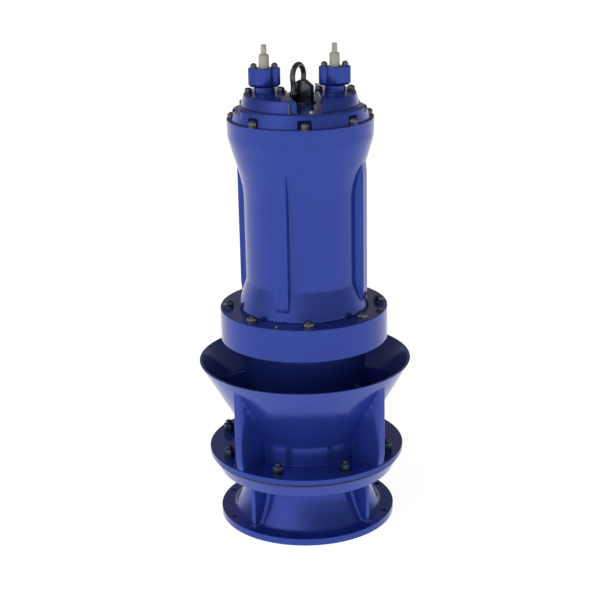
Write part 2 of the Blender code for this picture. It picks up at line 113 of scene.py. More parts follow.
def linear(code: str) -> tuple[float, float, float, float]:
    """Turn an sRGB hex value into linear colour.

    Args:
        code: six hex digits after a hash sign.
    Returns:
        Red, green, blue and alpha.
    """
    parts = [int(code[i:i + 2], 16) / 255 for i in (1, 3, 5)]
    red, green, blue = [c / 12.92 if c <= 0.04045 else ((c + 0.055) / 1.055) ** 2.4 for c in parts]
    return red, green, blue, 1.0


def per_metre(millimetres: float) -> float:
    """Scale of a texture whose cells are this many millimetres wide."""
    return 1000.0 / millimetres


def add_node(tree: bpy.types.NodeTree, kind: str, settings: dict | None = None,
             links: dict | None = None) -> bpy.types.Node:
    """Add a node with its settings and links.

    Args:
        tree: node tree that takes the node.
        kind: Blender's node type, without its ShaderNode start.
        settings: values by attribute name, or by input name or number.
        links: output sockets by input name or number.
    Returns:
        The new node.
    """
    node = tree.nodes.new("ShaderNode" + kind)
    for key, value in (settings or {}).items():
        if isinstance(key, str) and hasattr(node, key):
            setattr(node, key, value)
        else:
            node.inputs[key].default_value = value
    for key, socket in (links or {}).items():
        tree.links.new(socket, node.inputs[key])
    return node


@dataclass(frozen=True)
class Finish:
    """A surface finish: what all of them share.

    Attributes:
        name: the real material and how its surface was made.
        slot: the record's slot that it stands for; not used.
        colour: main colour, sRGB hex.
        shade: colour of the darker patches.
        patch: width of a patch in millimetres.
        metallic: 1 for bare metal.
        rough: lowest and highest roughness.
        grain: width of the fine relief in millimetres.
        relief: depth of that relief in millimetres.
    """

    name: str
    slot: Slot
    colour: str
    shade: str
    patch: float = 60.0
    metallic: float = 0.0
    rough: tuple[float, float] = (0.3, 0.45)
    grain: float = 3.0
    relief: float = 0.02

    def material(self) -> bpy.types.Material:
        """The finish's material, built on its first use."""
        return bpy.data.materials.get(self.name) or self.build()

    def build(self) -> bpy.types.Material:
        """Make the material.

        Returns:
            A material on Object coordinates.
        """
        material = bpy.data.materials.new(self.name)
        material.use_nodes = True
        tree = material.node_tree
        shader = tree.nodes["Principled BSDF"]
        place = add_node(tree, "TexCoord").outputs["Object"]
        patches = add_node(tree, "TexNoise", {"Scale": per_metre(self.patch), "Detail": 4.0,
                                              "Roughness": 0.6}, {"Vector": place})
        spread = add_node(tree, "MapRange", {"From Min": 0.3, "From Max": 0.65},
                          {"Value": patches.outputs["Fac"]})
        tone = add_node(tree, "Mix", {"data_type": "RGBA", 6: linear(self.shade), 7: linear(self.colour)},
                        {"Factor": spread.outputs["Result"]})
        tree.links.new(self.weather(tree, place, tone.outputs[2]), shader.inputs["Base Color"])
        wear = add_node(tree, "TexNoise", {"Scale": per_metre(self.patch / 4), "Detail": 3.0},
                        {"Vector": place})
        rough = add_node(tree, "MapRange", {"From Min": 0.25, "From Max": 0.75, "To Min": self.rough[0],
                                            "To Max": self.rough[1]}, {"Value": wear.outputs["Fac"]})
        tree.links.new(rough.outputs["Result"], shader.inputs["Roughness"])
        shader.inputs["Metallic"].default_value = self.metallic
        tree.links.new(self.bumps(tree, place), shader.inputs["Normal"])
        self.top_coat(shader)
        return material

    def weather(self, tree: bpy.types.NodeTree, place: bpy.types.NodeSocket,
                colour: bpy.types.NodeSocket) -> bpy.types.NodeSocket:
        """Colour after dirt and handling; plain finishes keep it."""
        return colour

    def bumps(self, tree: bpy.types.NodeTree, place: bpy.types.NodeSocket) -> bpy.types.NodeSocket:
        """Fine relief of the surface.

        Args:
            tree: the material's node tree.
            place: Object coordinates.
        Returns:
            The normal socket.
        """
        grain = add_node(tree, "TexNoise", {"Scale": per_metre(self.grain), "Detail": 2.0},
                         {"Vector": place})
        relief = add_node(tree, "Bump", {"Strength": 1.0, "Distance": self.relief * MM},
                          {"Height": grain.outputs["Fac"]})
        return relief.outputs["Normal"]

    def top_coat(self, shader: bpy.types.Node) -> None:
        """Clear layer over the colour; plain finishes have none."""


@dataclass(frozen=True)
class Enamel(Finish):
    """Two-part enamel sprayed on cast iron.

    Fine flake in the pigment tints its reflections, so a wall that faces the pale floor looks bright
    blue and one that faces the dim upper air looks navy. Close by it shows the slight ripple of a
    sprayed film, and under it the slow waves of a sand-cast wall.

    Attributes:
        wave: width of the casting's waves in millimetres.
        wave_depth: depth of those waves in millimetres.
        gloss: weight of the clear top of the film.
        specular: strength of the pigment's own reflection.
        coat_rough: roughness of the clear top.
        coat_ior: its index of refraction.
        dust: colour of the fine dust that lies in faint clouds, sRGB hex.
        cloud: width of these clouds in millimetres.
        dusty: how much of the colour the densest dust hides.
    """

    wave: float = 38.0
    wave_depth: float = 0.05
    gloss: float = 0.10
    specular: float = 0.35
    coat_rough: float = 0.10
    coat_ior: float = 1.45
    dust: str = "#4A5AA0"
    cloud: float = 220.0
    dusty: float = 0.16

    def weather(self, tree: bpy.types.NodeTree, place: bpy.types.NodeSocket,
                colour: bpy.types.NodeSocket) -> bpy.types.NodeSocket:
        """Faint clouds of dust where the film was wiped unevenly.

        Args:
            tree: the material's node tree.
            place: Object coordinates.
            colour: the clean colour.
        Returns:
            The colour socket.
        """
        clouds = add_node(tree, "TexNoise", {"Scale": per_metre(self.cloud), "Detail": 6.0,
                                             "Roughness": 0.65}, {"Vector": place})
        share = add_node(tree, "MapRange", {"From Min": 0.55, "From Max": 0.85, "To Max": self.dusty},
                         {"Value": clouds.outputs["Fac"]})
        mix = add_node(tree, "Mix", {"data_type": "RGBA", 7: linear(self.dust)},
                       {"Factor": share.outputs["Result"], 6: colour})
        return mix.outputs[2]

    def bumps(self, tree: bpy.types.NodeTree, place: bpy.types.NodeSocket) -> bpy.types.NodeSocket:
        """Orange peel of the film over the waves of the casting.

        Args:
            tree: the material's node tree.
            place: Object coordinates.
        Returns:
            The normal socket.
        """
        waves = add_node(tree, "TexNoise", {"Scale": per_metre(self.wave), "Detail": 1.0},
                         {"Vector": place})
        wall = add_node(tree, "Bump", {"Strength": 1.0, "Distance": self.wave_depth * MM},
                        {"Height": waves.outputs["Fac"]})
        peel = add_node(tree, "TexNoise", {"Scale": per_metre(self.grain), "Detail": 1.0},
                        {"Vector": place})
        film = add_node(tree, "Bump", {"Strength": 1.0, "Distance": self.relief * MM},
                        {"Height": peel.outputs["Fac"], "Normal": wall.outputs["Normal"]})
        return film.outputs["Normal"]

    def top_coat(self, shader: bpy.types.Node) -> None:
        """Set the reflection of the film on the shader's own sockets.

        Args:
            shader: the material's shader.
        """
        shader.inputs["Specular IOR Level"].default_value = self.specular
        shader.inputs["Coat Weight"].default_value = self.gloss
        shader.inputs["Coat Roughness"].default_value = self.coat_rough
        shader.inputs["Coat IOR"].default_value = self.coat_ior


class Palette:
    """All finishes of the pump."""

    # Enamel on the outer castings: bright blue below, navy above, with the soft sheen of its flake
    enamel = Enamel(
        "sprayed_flake_enamel_on_cast_iron", Slot.ENAMEL, "#2D45A4", "#2A419D", patch=140.0,
        metallic=0.45, rough=(0.15, 0.20), grain=2.6, relief=0.002)
    # The same enamel in the water's path, its colour a shade darker as painted shade for the dim inside of
    # the cone; duller, on a smoother casting
    shaded_water_path = Enamel(
        "sprayed_flake_enamel_painted_shade_in_water_path", Slot.WATER_PATH, "#273B92", "#25388D", patch=140.0,
        metallic=0.45, rough=(0.20, 0.26), grain=2.6, relief=0.002, wave_depth=0.02)
    # Machined bronze: warm and half bright, clouded by a thin tarnish
    bronze = Finish(
        "machined_aluminium_bronze", Slot.BRONZE, "#B98A4A", "#9A6E35", patch=24.0, metallic=1.0,
        rough=(0.26, 0.42), grain=1.2, relief=0.01)
    # Ground stainless steel: pale and bright, its reflections softened by the grinding
    stainless = Finish(
        "ground_stainless_steel", Slot.STAINLESS, "#B9BBBC", "#A5A8AA", patch=16.0, metallic=1.0,
        rough=(0.22, 0.36), grain=0.9, relief=0.006)
    # Steel blackened in oil: dark grey with a metal sheen, mottled where the oil dried
    black_steel = Finish(
        "oil_blackened_steel", Slot.BLACK_STEEL, "#5E656D", "#41474F", patch=9.0, metallic=0.85,
        rough=(0.22, 0.34), grain=1.4, relief=0.015)
    # Zinc flake on bolts: mid grey, fine grained and evenly dull
    bolt_steel = Finish(
        "zinc_flake_coated_bolt_steel", Slot.BLACK_STEEL, "#6A707C", "#4D535F", patch=6.0,
        metallic=0.85, rough=(0.28, 0.42), grain=0.8, relief=0.01)
    # Bolts low on the pump: dark slate with a blue cast, darker than the bolts above them
    wet_bolt_steel = Finish(
        "dark_slate_bolt_steel", Slot.BLACK_STEEL, "#404B66", "#2C364D", patch=6.0,
        metallic=0.80, rough=(0.30, 0.44), grain=0.8, relief=0.01)
    # Moulded nitrile: near black, even and dull
    rubber = Finish(
        "moulded_nitrile_rubber", Slot.RUBBER, "#1B2140", "#141830", patch=12.0,
        rough=(0.45, 0.60), grain=0.8, relief=0.01)
    # Extruded sheath: pale warm grey and matt, faintly smudged by handling
    sheath = Finish(
        "extruded_cable_sheath", Slot.SHEATH, "#BDBCB4", "#A6A59E", patch=7.0,
        rough=(0.45, 0.62), grain=1.1, relief=0.02)


# Shapes


def arc(centre: Point, across: float, rise: float, end: float, steps: int) -> list[Point]:
    """Points on an arc in the profile plane, which starts straight outwards.

    Args:
        centre: its middle, as radius and height.
        across: its half width.
        rise: its half height, negative where it runs downwards.
        end: its last angle in degrees.
        steps: stretches between its points.
    Returns:
        The points.
    """
    turns = [radians(end * i / steps) for i in range(steps + 1)]
    return [(centre[0] + across * cos(turn), centre[1] + rise * sin(turn)) for turn in turns]


def rounded(corners: Sequence[tuple[float, float, float]], steps: int = 4) -> list[Point]:
    """Round the corners of a profile and hold its straight runs flat beside them.

    Args:
        corners: radius, height and rounding of each corner, in order.
        steps: stretches in each rounded corner.
    Returns:
        The profile's points; its first and last corners stay sharp.
    """
    points: list[Point] = [corners[0][:2]]
    for before, here, after in zip(corners, corners[1:], corners[2:]):
        middle = Vector(here[:2])
        back = Vector(before[:2]) - middle
        ahead = Vector(after[:2]) - middle
        size = here[2]
        if size <= 0 or min(back.length, ahead.length) < 1e-6:
            points.append(here[:2])
            continue
        half = back.angle(ahead) / 2
        reach = min(size / tan(half), 0.48 * back.length, 0.48 * ahead.length)
        start = middle + back.normalized() * reach
        end = middle + ahead.normalized() * reach
        guard = min(1.5 * MM, 0.2 * reach + 0.2 * MM)
        if back.length > 2.5 * reach + guard:
            points.append(tuple(start + back.normalized() * guard))
        for i in range(steps + 1):
            share = i / steps
            spot = start * (1 - share) ** 2 + middle * 2 * share * (1 - share) + end * share ** 2
            points.append(tuple(spot))
        if ahead.length > 2.5 * reach + guard:
            points.append(tuple(end + ahead.normalized() * guard))
    points.append(corners[-1][:2])
    return points


def post(radius: float, low: float, high: float, top_edge: float = 0.0, foot_edge: float = 0.0,
         steps: int = 4) -> list[Point]:
    """Profile of a cylinder with rounded edges.

    Args:
        radius: its radius.
        low: height of its foot.
        high: height of its top.
        top_edge: rounding of its top edge.
        foot_edge: rounding of its foot's edge.
        steps: stretches in each rounding.
    Returns:
        The profile's points, from the top down.
    """
    return rounded([(0.0, high, 0), (radius, high, top_edge), (radius, low, foot_edge), (0.0, low, 0)], steps)


def closed_up(shape: bmesh.types.BMesh) -> bmesh.types.BMesh:
    """Merge doubles, drop what has no area and turn all faces outwards.

    Args:
        shape: the shape, which is changed.
    Returns:
        The same shape.
    """
    bmesh.ops.remove_doubles(shape, verts=shape.verts, dist=MERGE)
    bmesh.ops.dissolve_degenerate(shape, dist=MERGE / 2, edges=shape.edges)
    bmesh.ops.recalc_face_normals(shape, faces=shape.faces)
    return shape


def spun(profile: Sequence[Point], steps: int = 160, centre: Point = (0.0, 0.0)) -> bmesh.types.BMesh:
    """Turn a profile round an upright axis.

    Args:
        profile: radius and height of its points; one that starts off the axis is closed into a ring.
        steps: facets in the full turn.
        centre: where the axis stands, as X and Y.
    Returns:
        The closed shape.
    """
    shape = bmesh.new()
    points = [shape.verts.new((radius, 0.0, height)) for radius, height in profile]
    pairs = list(zip(points, points[1:]))
    if profile[0][0] > 0:
        pairs.append((points[-1], points[0]))
    edges = [shape.edges.new(pair) for pair in pairs]
    bmesh.ops.spin(shape, geom=points + edges, cent=(0, 0, 0), axis=(0, 0, 1), angle=FULL_TURN,
                   steps=steps, use_merge=True)
    closed_up(shape)
    bmesh.ops.translate(shape, verts=shape.verts, vec=(*centre, 0.0))
    return shape


def smooth_union(first: np.ndarray, second: np.ndarray, reach: float) -> np.ndarray:
    """Distance to two forms that run into each other with a fillet.

    Args:
        first: distances to one form.
        second: distances to the other.
        reach: how far the fillet reaches.
    Returns:
        The joined distances.
    """
    share = np.clip(0.5 + 0.5 * (second - first) / reach, 0.0, 1.0)
    return second + (first - second) * share - reach * share * (1 - share)


def cast_radius(distance: Callable[..., np.ndarray], angles: np.ndarray, heights: np.ndarray,
                inner: float, outer: float) -> np.ndarray:
    """Find where level rays from the shaft leave a cast form.

    Args:
        distance: signed distance of radius, angle and height arrays.
        angles: the rays' angles in degrees.
        heights: the rays' heights.
        inner: a radius inside the form.
        outer: the largest radius to return.
    Returns:
        Radii, one row for each height.
    """
    low = np.full((len(heights), len(angles)), inner)
    high = np.full_like(low, outer)
    for _ in range(30):
        middle = (low + high) / 2
        inside = distance(middle, angles[None, :], heights[:, None]) < 0
        low = np.where(inside, middle, low)
        high = np.where(inside, high, middle)
    return high


def spaced(start: float, stops: Iterable[tuple[float, int]]) -> np.ndarray:
    """Places in even steps from a start to each stop in turn.

    Args:
        start: the first place.
        stops: the next place and the number of steps that lead to it.
    Returns:
        All places, the start and the stops among them.
    """
    parts = [np.array([start])]
    for stop, steps in stops:
        parts.append(np.linspace(start, stop, steps + 1)[1:])
        start = stop
    return np.concatenate(parts)


@dataclass(frozen=True)
class Rows:
    """Rows of a wall round the shaft: radii and heights over its columns."""

    radii: np.ndarray
    heights: np.ndarray

    @classmethod
    def level(cls, profile: Iterable[Point], columns: int) -> Rows:
        """Rows that are the same all round.

        Args:
            profile: radius and height of each row.
            columns: number of columns.
        Returns:
            The rows.
        """
        points = np.array(list(profile), float)
        ones = np.ones((1, columns))
        return cls(points[:, :1] * ones, points[:, 1:] * ones)

    @classmethod
    def at(cls, radii: np.ndarray, heights: np.ndarray) -> Rows:
        """Rows of given radii, each at one height."""
        return cls(radii, heights[:, None] * np.ones_like(radii))


def wrapped(rows: Sequence[Rows], angles: np.ndarray, centre: Point = (0.0, 0.0)) -> bmesh.types.BMesh:
    """Bend a grid round an upright axis so that it follows the rows.

    Args:
        rows: the wall's rows in order, closing on themselves.
        angles: angle of each column, the last a full turn after the first.
        centre: where the axis stands, as X and Y.
    Returns:
        The closed shape.
    """
    radii = np.concatenate([part.radii for part in rows] + [rows[0].radii[:1]])
    heights = np.concatenate([part.heights for part in rows] + [rows[0].heights[:1]])
    across = len(angles) - 1
    along = len(radii) - 1
    shape = bmesh.new()
    bmesh.ops.create_grid(shape, x_segments=across, y_segments=along, size=0.5)
    turns = np.radians(angles)
    for vert in shape.verts:
        column = round((vert.co.x + 0.5) * across)
        row = round((vert.co.y + 0.5) * along)
        radius = radii[row, column]
        vert.co = (centre[0] + radius * sin(turns[column]), centre[1] - radius * cos(turns[column]),
                   heights[row, column])
    return closed_up(shape)


@dataclass(frozen=True)
class Ribs:
    """Equal upright plates round the shaft.

    Attributes:
        first: angle of the first plate.
        count: number of plates.
        half: half their thickness.
        edge: rounding of their long edges.
    """

    first: float
    count: int
    half: float
    edge: float

    def distance(self, radius: np.ndarray, angle: np.ndarray, outer: np.ndarray) -> np.ndarray:
        """Signed distance to the nearest plate, taken as endless upwards.

        Args:
            radius: distances from the shaft.
            angle: angles round it.
            outer: radius of the plate's outer face.
        Returns:
            Distances, negative inside.
        """
        pitch = 360.0 / self.count
        offset = np.radians((angle - self.first + pitch / 2) % pitch - pitch / 2)
        along = radius * np.cos(offset) - (outer - self.edge)
        across = np.abs(radius * np.sin(offset)) - (self.half - self.edge)
        outside = np.hypot(np.maximum(along, 0), np.maximum(across, 0))
        return outside + np.minimum(np.maximum(along, across), 0) - self.edge

    def columns(self, wall: float, outer: float, fillet: float) -> np.ndarray:
        """Angles of mesh columns, close together on the plates' sides and fillets.

        Args:
            wall: radius of the wall that the plates stand on.
            outer: radius of their outer face.
            fillet: reach of the fillet at the wall.
        Returns:
            The angles over one full turn.
        """
        face = degrees(asin((self.half - self.edge) / outer))
        spots = spaced(outer - self.edge, [(wall + fillet, 6), (wall, 5)])
        side = np.degrees(np.arcsin(self.half / spots))
        foot = side[-1] + degrees(fillet / wall)
        half = np.concatenate([spaced(0.0, [(face, 3), (side[0], 5)])[:-1], side,
                               spaced(side[-1], [(foot, 6), (180.0 / self.count, 12)])[1:]])
        one = np.concatenate([-half[:0:-1], half[:-1]])
        turns = [middle + one for middle in evenly(self.count, self.first)]
        return np.append(np.concatenate(turns), turns[0][0] + 360.0)


def beside(flat: float, reach: float, steps: int = 7) -> np.ndarray:
    """Steps away from a face, short at first, for the rows of a fillet.

    Args:
        flat: height of the face.
        reach: where the fillet ends, positive upwards.
        steps: number of rows.
    Returns:
        Heights from the face outwards.
    """
    return flat + reach * (np.arange(1, steps + 1) / steps) ** 2.2


def finished(name: str, shape: bmesh.types.BMesh, finish: Finish, nodes: Sequence[str] = (),
             body: Body = Body.PUMP, angle: float = SMOOTH_ANGLE,
             joins: Sequence[bmesh.types.BMesh] = (),
             cutters: Sequence[bmesh.types.BMesh] = ()) -> None:
    """Turn a shape into a dressed piece that rides on its body.

    Args:
        name: the piece's name.
        shape: its mesh in place, which is freed.
        finish: the piece's finish.
        nodes: CAD nodes that it stands for.
        body: the body that carries it.
        angle: edges sharper than this stay sharp.
        joins: closed shapes fused with it.
        cutters: closed shapes taken out of it.
    """
    piece = placed(name, shape)
    steps = [("UNION", part) for part in joins] + [("DIFFERENCE", part) for part in cutters]
    for number, (operation, part) in enumerate(steps):
        tool = placed(f"{name}_tool_{number}", part)
        change = piece.modifiers.new("Join", "BOOLEAN")
        change.operation = operation
        change.solver = "EXACT"
        change.object = tool
        piece = applied(piece)
        bpy.data.objects.remove(tool, do_unlink=True)
    mesh = piece.data
    mesh.shade_smooth()
    mesh.set_sharp_from_angle(angle=radians(angle))
    mesh.materials.clear()
    mesh.materials.append(finish.material())
    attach(piece, body.value)
    if nodes:
        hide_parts(*nodes)
    LOG.info("%s: %d faces", name, len(mesh.polygons))


def placed(name: str, shape: bmesh.types.BMesh) -> bpy.types.Object:
    """Link a shape to the scene as an object at the origin, and free it.

    Args:
        name: the object's name.
        shape: its mesh.
    Returns:
        The object.
    """
    mesh = bpy.data.meshes.new(name)
    shape.to_mesh(mesh)
    shape.free()
    piece = bpy.data.objects.new(name, mesh)
    bpy.context.scene.collection.objects.link(piece)
    return piece


def applied(piece: bpy.types.Object) -> bpy.types.Object:
    """Give an object the mesh that its modifiers make.

    Args:
        piece: the object.
    Returns:
        The same object, without modifiers.
    """
    bpy.context.view_layer.update()
    graph = bpy.context.evaluated_depsgraph_get()
    mesh = bpy.data.meshes.new_from_object(piece.evaluated_get(graph))
    piece.modifiers.clear()
    piece.data = mesh
    return piece


def stamped(parts: Sequence[bmesh.types.BMesh], places: Sequence[Matrix]) -> bmesh.types.BMesh:
    """Set copies of a few shapes at several places.

    Args:
        parts: the shapes, which are freed.
        places: where each copy of them all goes.
    Returns:
        One mesh that holds all copies.
    """
    shape = bmesh.new()
    for part in parts:
        mesh = bpy.data.meshes.new("stamp")
        part.to_mesh(mesh)
        part.free()
        for place in places:
            copy = mesh.copy()
            copy.transform(place)
            shape.from_mesh(copy)
            bpy.data.meshes.remove(copy)
        bpy.data.meshes.remove(mesh)
    return shape


def swept(route: Sequence[Point], radius: float) -> bmesh.types.BMesh:
    """Draw a round wire along a route in the YZ plane.

    Args:
        route: Y and Z of the wire's centre.
        radius: the wire's radius.
    Returns:
        The closed shape.
    """
    spots = [Vector((0.0, across, height)) for across, height in route]
    frames = []
    for number, spot in enumerate(spots):
        before = spots[max(number - 1, 0)]
        after = spots[min(number + 1, len(spots) - 1)]
        ahead = (after - before).normalized()
        side = ahead.cross(Vector((1, 0, 0)))
        basis = Matrix(((1, 0, 0), side, ahead)).transposed().to_4x4()
        frames.append(Matrix.Translation(spot) @ basis)
    shape = bmesh.new()
    ring = bmesh.ops.create_circle(shape, cap_ends=True, radius=radius, segments=24, matrix=frames[0])
    edges = list({edge for vert in ring["verts"] for edge in vert.link_edges})
    for last, here in zip(frames, frames[1:]):
        grown = bmesh.ops.extrude_edge_only(shape, edges=edges)["geom"]
        verts = [part for part in grown if isinstance(part, bmesh.types.BMVert)]
        edges = [part for part in grown if isinstance(part, bmesh.types.BMEdge)
                 and set(verts).issuperset(part.verts)]
        bmesh.ops.transform(shape, matrix=here @ last.inverted(), verts=verts)
    bmesh.ops.holes_fill(shape, edges=edges, sides=0)
    return closed_up(shape)


def bevelled(shape: bmesh.types.BMesh, edges: Iterable[bmesh.types.BMEdge], width: float, segments: int,
             clamp: bool = False) -> None:
    """Ease some edges of a shape.

    Args:
        shape: the shape, which is changed.
        edges: its edges.
        width: width of the easing.
        segments: strips in it.
        clamp: whether it stops where two of them meet.
    """
    bmesh.ops.bevel(shape, geom=list(edges), offset=width, segments=segments, profile=0.5,
                    affect="EDGES", material=-1, clamp_overlap=clamp)


def plate(outline: Sequence[Point], thickness: float, edge: float) -> bmesh.types.BMesh:
    """An upright plate in the XZ plane with eased edges.

    Args:
        outline: X and Z of its corners, in order.
        thickness: its thickness, half of it on each side of the plane.
        edge: width of the easing round both faces.
    Returns:
        The closed shape.
    """
    shape = bmesh.new()
    face = shape.faces.new([shape.verts.new((across, -thickness / 2, height))
                            for across, height in outline])
    grown = bmesh.ops.extrude_face_region(shape, geom=[face])["geom"]
    back = [part for part in grown if isinstance(part, bmesh.types.BMVert)]
    bmesh.ops.translate(shape, verts=back, vec=(0.0, thickness, 0.0))
    bmesh.ops.recalc_face_normals(shape, faces=shape.faces)
    rim = [item for item in shape.edges if abs(item.verts[0].co.y - item.verts[1].co.y) < thickness / 2]
    bevelled(shape, rim, edge, 3, clamp=True)
    return closed_up(shape)


def disc(radius: float, foot: float, height: float, sides: int, edge: float) -> bmesh.types.BMesh:
    """An upright prism or cylinder with eased edges.

    Args:
        radius: its radius, to the corners.
        foot: height of its underside.
        height: its own height.
        sides: number of sides.
        edge: width of the eased top and bottom edges.
    Returns:
        The closed shape.
    """
    shape = bmesh.new()
    made = bmesh.ops.create_cone(shape, cap_ends=True, segments=sides, radius1=radius, radius2=radius,
                                 depth=height, matrix=Matrix.Translation((0, 0, foot + height / 2)))
    level = {item for vert in made["verts"] for item in vert.link_edges
             if abs(item.verts[0].co.z - item.verts[1].co.z) < height / 2}
    bevelled(shape, level, edge, 2)
    return shape


def moved(shape: bmesh.types.BMesh, place: Matrix) -> bmesh.types.BMesh:
    """The shape after a transform."""
    bmesh.ops.transform(shape, matrix=place, verts=shape.verts)
    return shape


def turned(angle: float) -> Matrix:
    """A turn round the shaft by an angle in degrees."""
    return Matrix.Rotation(radians(angle), 4, "Z")


def evenly(count: int, first: float = 0.0) -> list[float]:
    """Angles of equal steps round the shaft."""
    return [first + 360.0 / count * i for i in range(count)]


def numbered(stem: str, count: int) -> list[str]:
    """Names of a row of CAD nodes, counted from 1."""
    return [f"{stem}_{i + 1}" for i in range(count)]


def on_circle(radius: float, angle: float, height: float = 0.0) -> Vector:
    """A point by its angle from the front."""
    return Vector((radius * sin(radians(angle)), -radius * cos(radians(angle)), height))


# Fasteners


@dataclass(frozen=True)
class HexFastener:
    """A hexagon head or nut on a washer, domed or with the end of a stud.

    Attributes:
        flats: width across the flats.
        height: height of the hexagon.
        washer: radius of the washer.
        washer_t: its thickness.
        dome: height of the rounded crown, or 0.
        stud: radius of the stud that stands out, or 0.
        stud_out: how far it stands out.
        neck_share: radius of the crown over the width across the flats.
        rise: how far the crown's edge stands over the hexagon.
        ease: width of the eased edges of washer and crown.
        stud_ease: width of the eased edge of the stud.
        chamfer: width of the chamfers on the hexagon.
    """

    flats: float
    height: float
    washer: float
    washer_t: float = 2.5 * MM
    dome: float = 0.0
    stud: float = 0.0
    stud_out: float = 0.0
    neck_share: float = 0.44
    rise: float = 0.2 * MM
    ease: float = 0.5 * MM
    stud_ease: float = 1.5 * MM
    chamfer: float = 0.9 * MM

    def turned_part(self) -> bmesh.types.BMesh:
        """Washer, crown and stud as one turned shape.

        Returns:
            The closed shape, its foot at the origin.
        """
        crown = self.washer_t + self.height
        neck = self.flats * self.neck_share
        profile = [(0.0, 0.0), (self.washer, 0.0), (self.washer, self.washer_t - self.ease),
                   (self.washer - self.ease, self.washer_t), (neck, self.washer_t + self.rise)]
        if self.dome:
            profile += arc((0.0, crown - GAP), neck, self.dome, 90, 7)[:-1]
            profile.append((0.0, crown - GAP + self.dome))
        elif self.stud:
            top = crown + self.stud_out
            profile += [(neck, crown + GAP), (self.stud, crown + GAP), (self.stud, top - self.stud_ease),
                        (self.stud - self.stud_ease, top), (0.0, top)]
        else:
            profile += [(neck, crown + self.rise), (neck - self.ease, crown + self.ease),
                        (0.0, crown + self.ease)]
        return spun(profile, 28)

    def hexagon(self) -> bmesh.types.BMesh:
        """The hexagon with its chamfered edges."""
        return disc(self.flats / sqrt(3), self.washer_t, self.height, 6, self.chamfer)

    def row(self, places: Iterable[tuple[Vector, float]]) -> bmesh.types.BMesh:
        """Copies of the fastener.

        Args:
            places: middle of each washer's underside, and turn of its hexagon in degrees.
        Returns:
            One mesh.
        """
        spots = [Matrix.Translation(foot) @ turned(turn) for foot, turn in places]
        return stamped([self.turned_part(), self.hexagon()], spots)


# Sub-assemblies


@dataclass
class Inlet:
    """Base flange, trumpet-shaped bell and its four webs, one iron casting."""

    flange: Extent = Extent.of("inlet_flange")
    bell: Extent = Extent.of("inlet_bell")
    webs: Ribs = Ribs(45.0, 4, 6.0 * MM, 1.6 * MM)
    web_r: float = 0.2145
    foot_r: float = 0.1985
    top_r: float = 0.1570
    mouth_r: float = 0.1920
    throat_r: float = 0.1480
    inside_r: float = 0.1000
    wall_lean: float = 0.9
    fillet: float = 0.0080
    top_fillet: float = 0.0060
    ledge: float = 0.0030
    hole_circle: float = 0.2175
    hole_r: float = 0.0070
    sink: float = 0.0008
    sink_spread: float = 0.0020
    holes: int = 8
    first_hole: float = 22.5

    @staticmethod
    def flare(low: float, high: float, share: np.ndarray | float) -> np.ndarray | float:
        """Radius of a trumpet curve at a share of its height, between its foot's and its top's."""
        return high + (low - high) * (1 - share) ** 2

    def distance(self, radius: np.ndarray, angle: np.ndarray, height: np.ndarray) -> np.ndarray:
        """Signed distance to the casting above its flange.

        Args:
            radius: distances from the shaft.
            angle: angles round it.
            height: heights.
        Returns:
            Distances, negative inside.
        """
        share = (height - self.flange.high) / (self.bell.high - self.flange.high)
        wall = (radius - self.flare(self.foot_r, self.top_r, share)) * self.wall_lean
        web = self.webs.distance(radius, angle, self.web_r)
        form = smooth_union(wall, web, self.fillet)
        form = smooth_union(form, height - self.flange.high, self.fillet)
        return smooth_union(form, self.bell.high - height, self.top_fillet)

    def drills(self) -> bmesh.types.BMesh:
        """The bolt holes of the flange, each with a countersink.

        Returns:
            The closed shapes that are cut away.
        """
        face = self.flange.high
        below = self.flange.low - 10 * MM
        above = face + self.sink_spread - self.sink
        drill = spun([(0.0, below), (self.hole_r, below), (self.hole_r, face - self.sink),
                      (self.hole_r + self.sink_spread, above), (0.0, above)], 28)
        turns = evenly(self.holes, self.first_hole)
        return stamped([drill], [Matrix.Translation(on_circle(self.hole_circle, turn)) for turn in turns])

    def build(self) -> None:
        """Make the casting and drill its flange."""
        face, foot, rim = self.flange.high, self.flange.low, self.flange.radius
        angles = self.webs.columns(self.top_r, self.web_r, self.fillet)
        count = len(angles)
        low = beside(face, 9.0 * MM)
        high = beside(self.bell.high, -7.0 * MM, 6)[::-1]
        heights = np.concatenate([low, np.linspace(low[-1], high[0], 26)[1:-1], high])
        outer = cast_radius(self.distance, angles, heights, self.inside_r, rim - 2 * self.ledge)
        plain = rim - self.ledge
        # Three more rows lead over the flange's flat top, from the wall's foot to its plain rim
        spread = np.linspace(1, 0, 5)[1:-1, None]
        edge = rounded([(plain, face, 0), (rim, face, 1.6 * MM), (rim, foot, 1.2 * MM),
                        (self.mouth_r, foot, 1.5 * MM), (self.mouth_r - 0.5 * MM, foot + 3.0 * MM, 0)])
        steps = 16
        throat = [(self.flare(self.mouth_r, self.throat_r, i / steps),
                   foot + (self.bell.high - foot) * i / steps) for i in range(1, steps + 1)]
        rows = [Rows.at(outer[::-1], heights[::-1]),
                Rows(plain + (outer[:1] - plain) * spread, np.full((len(spread), count), face)),
                Rows.level(edge + throat, count)]
        finished("inlet_casting", wrapped(rows, angles), Palette.enamel,
                 ["inlet_flange", "inlet_bell"] + numbered("bell_web", self.webs.count),
                 cutters=[self.drills()])


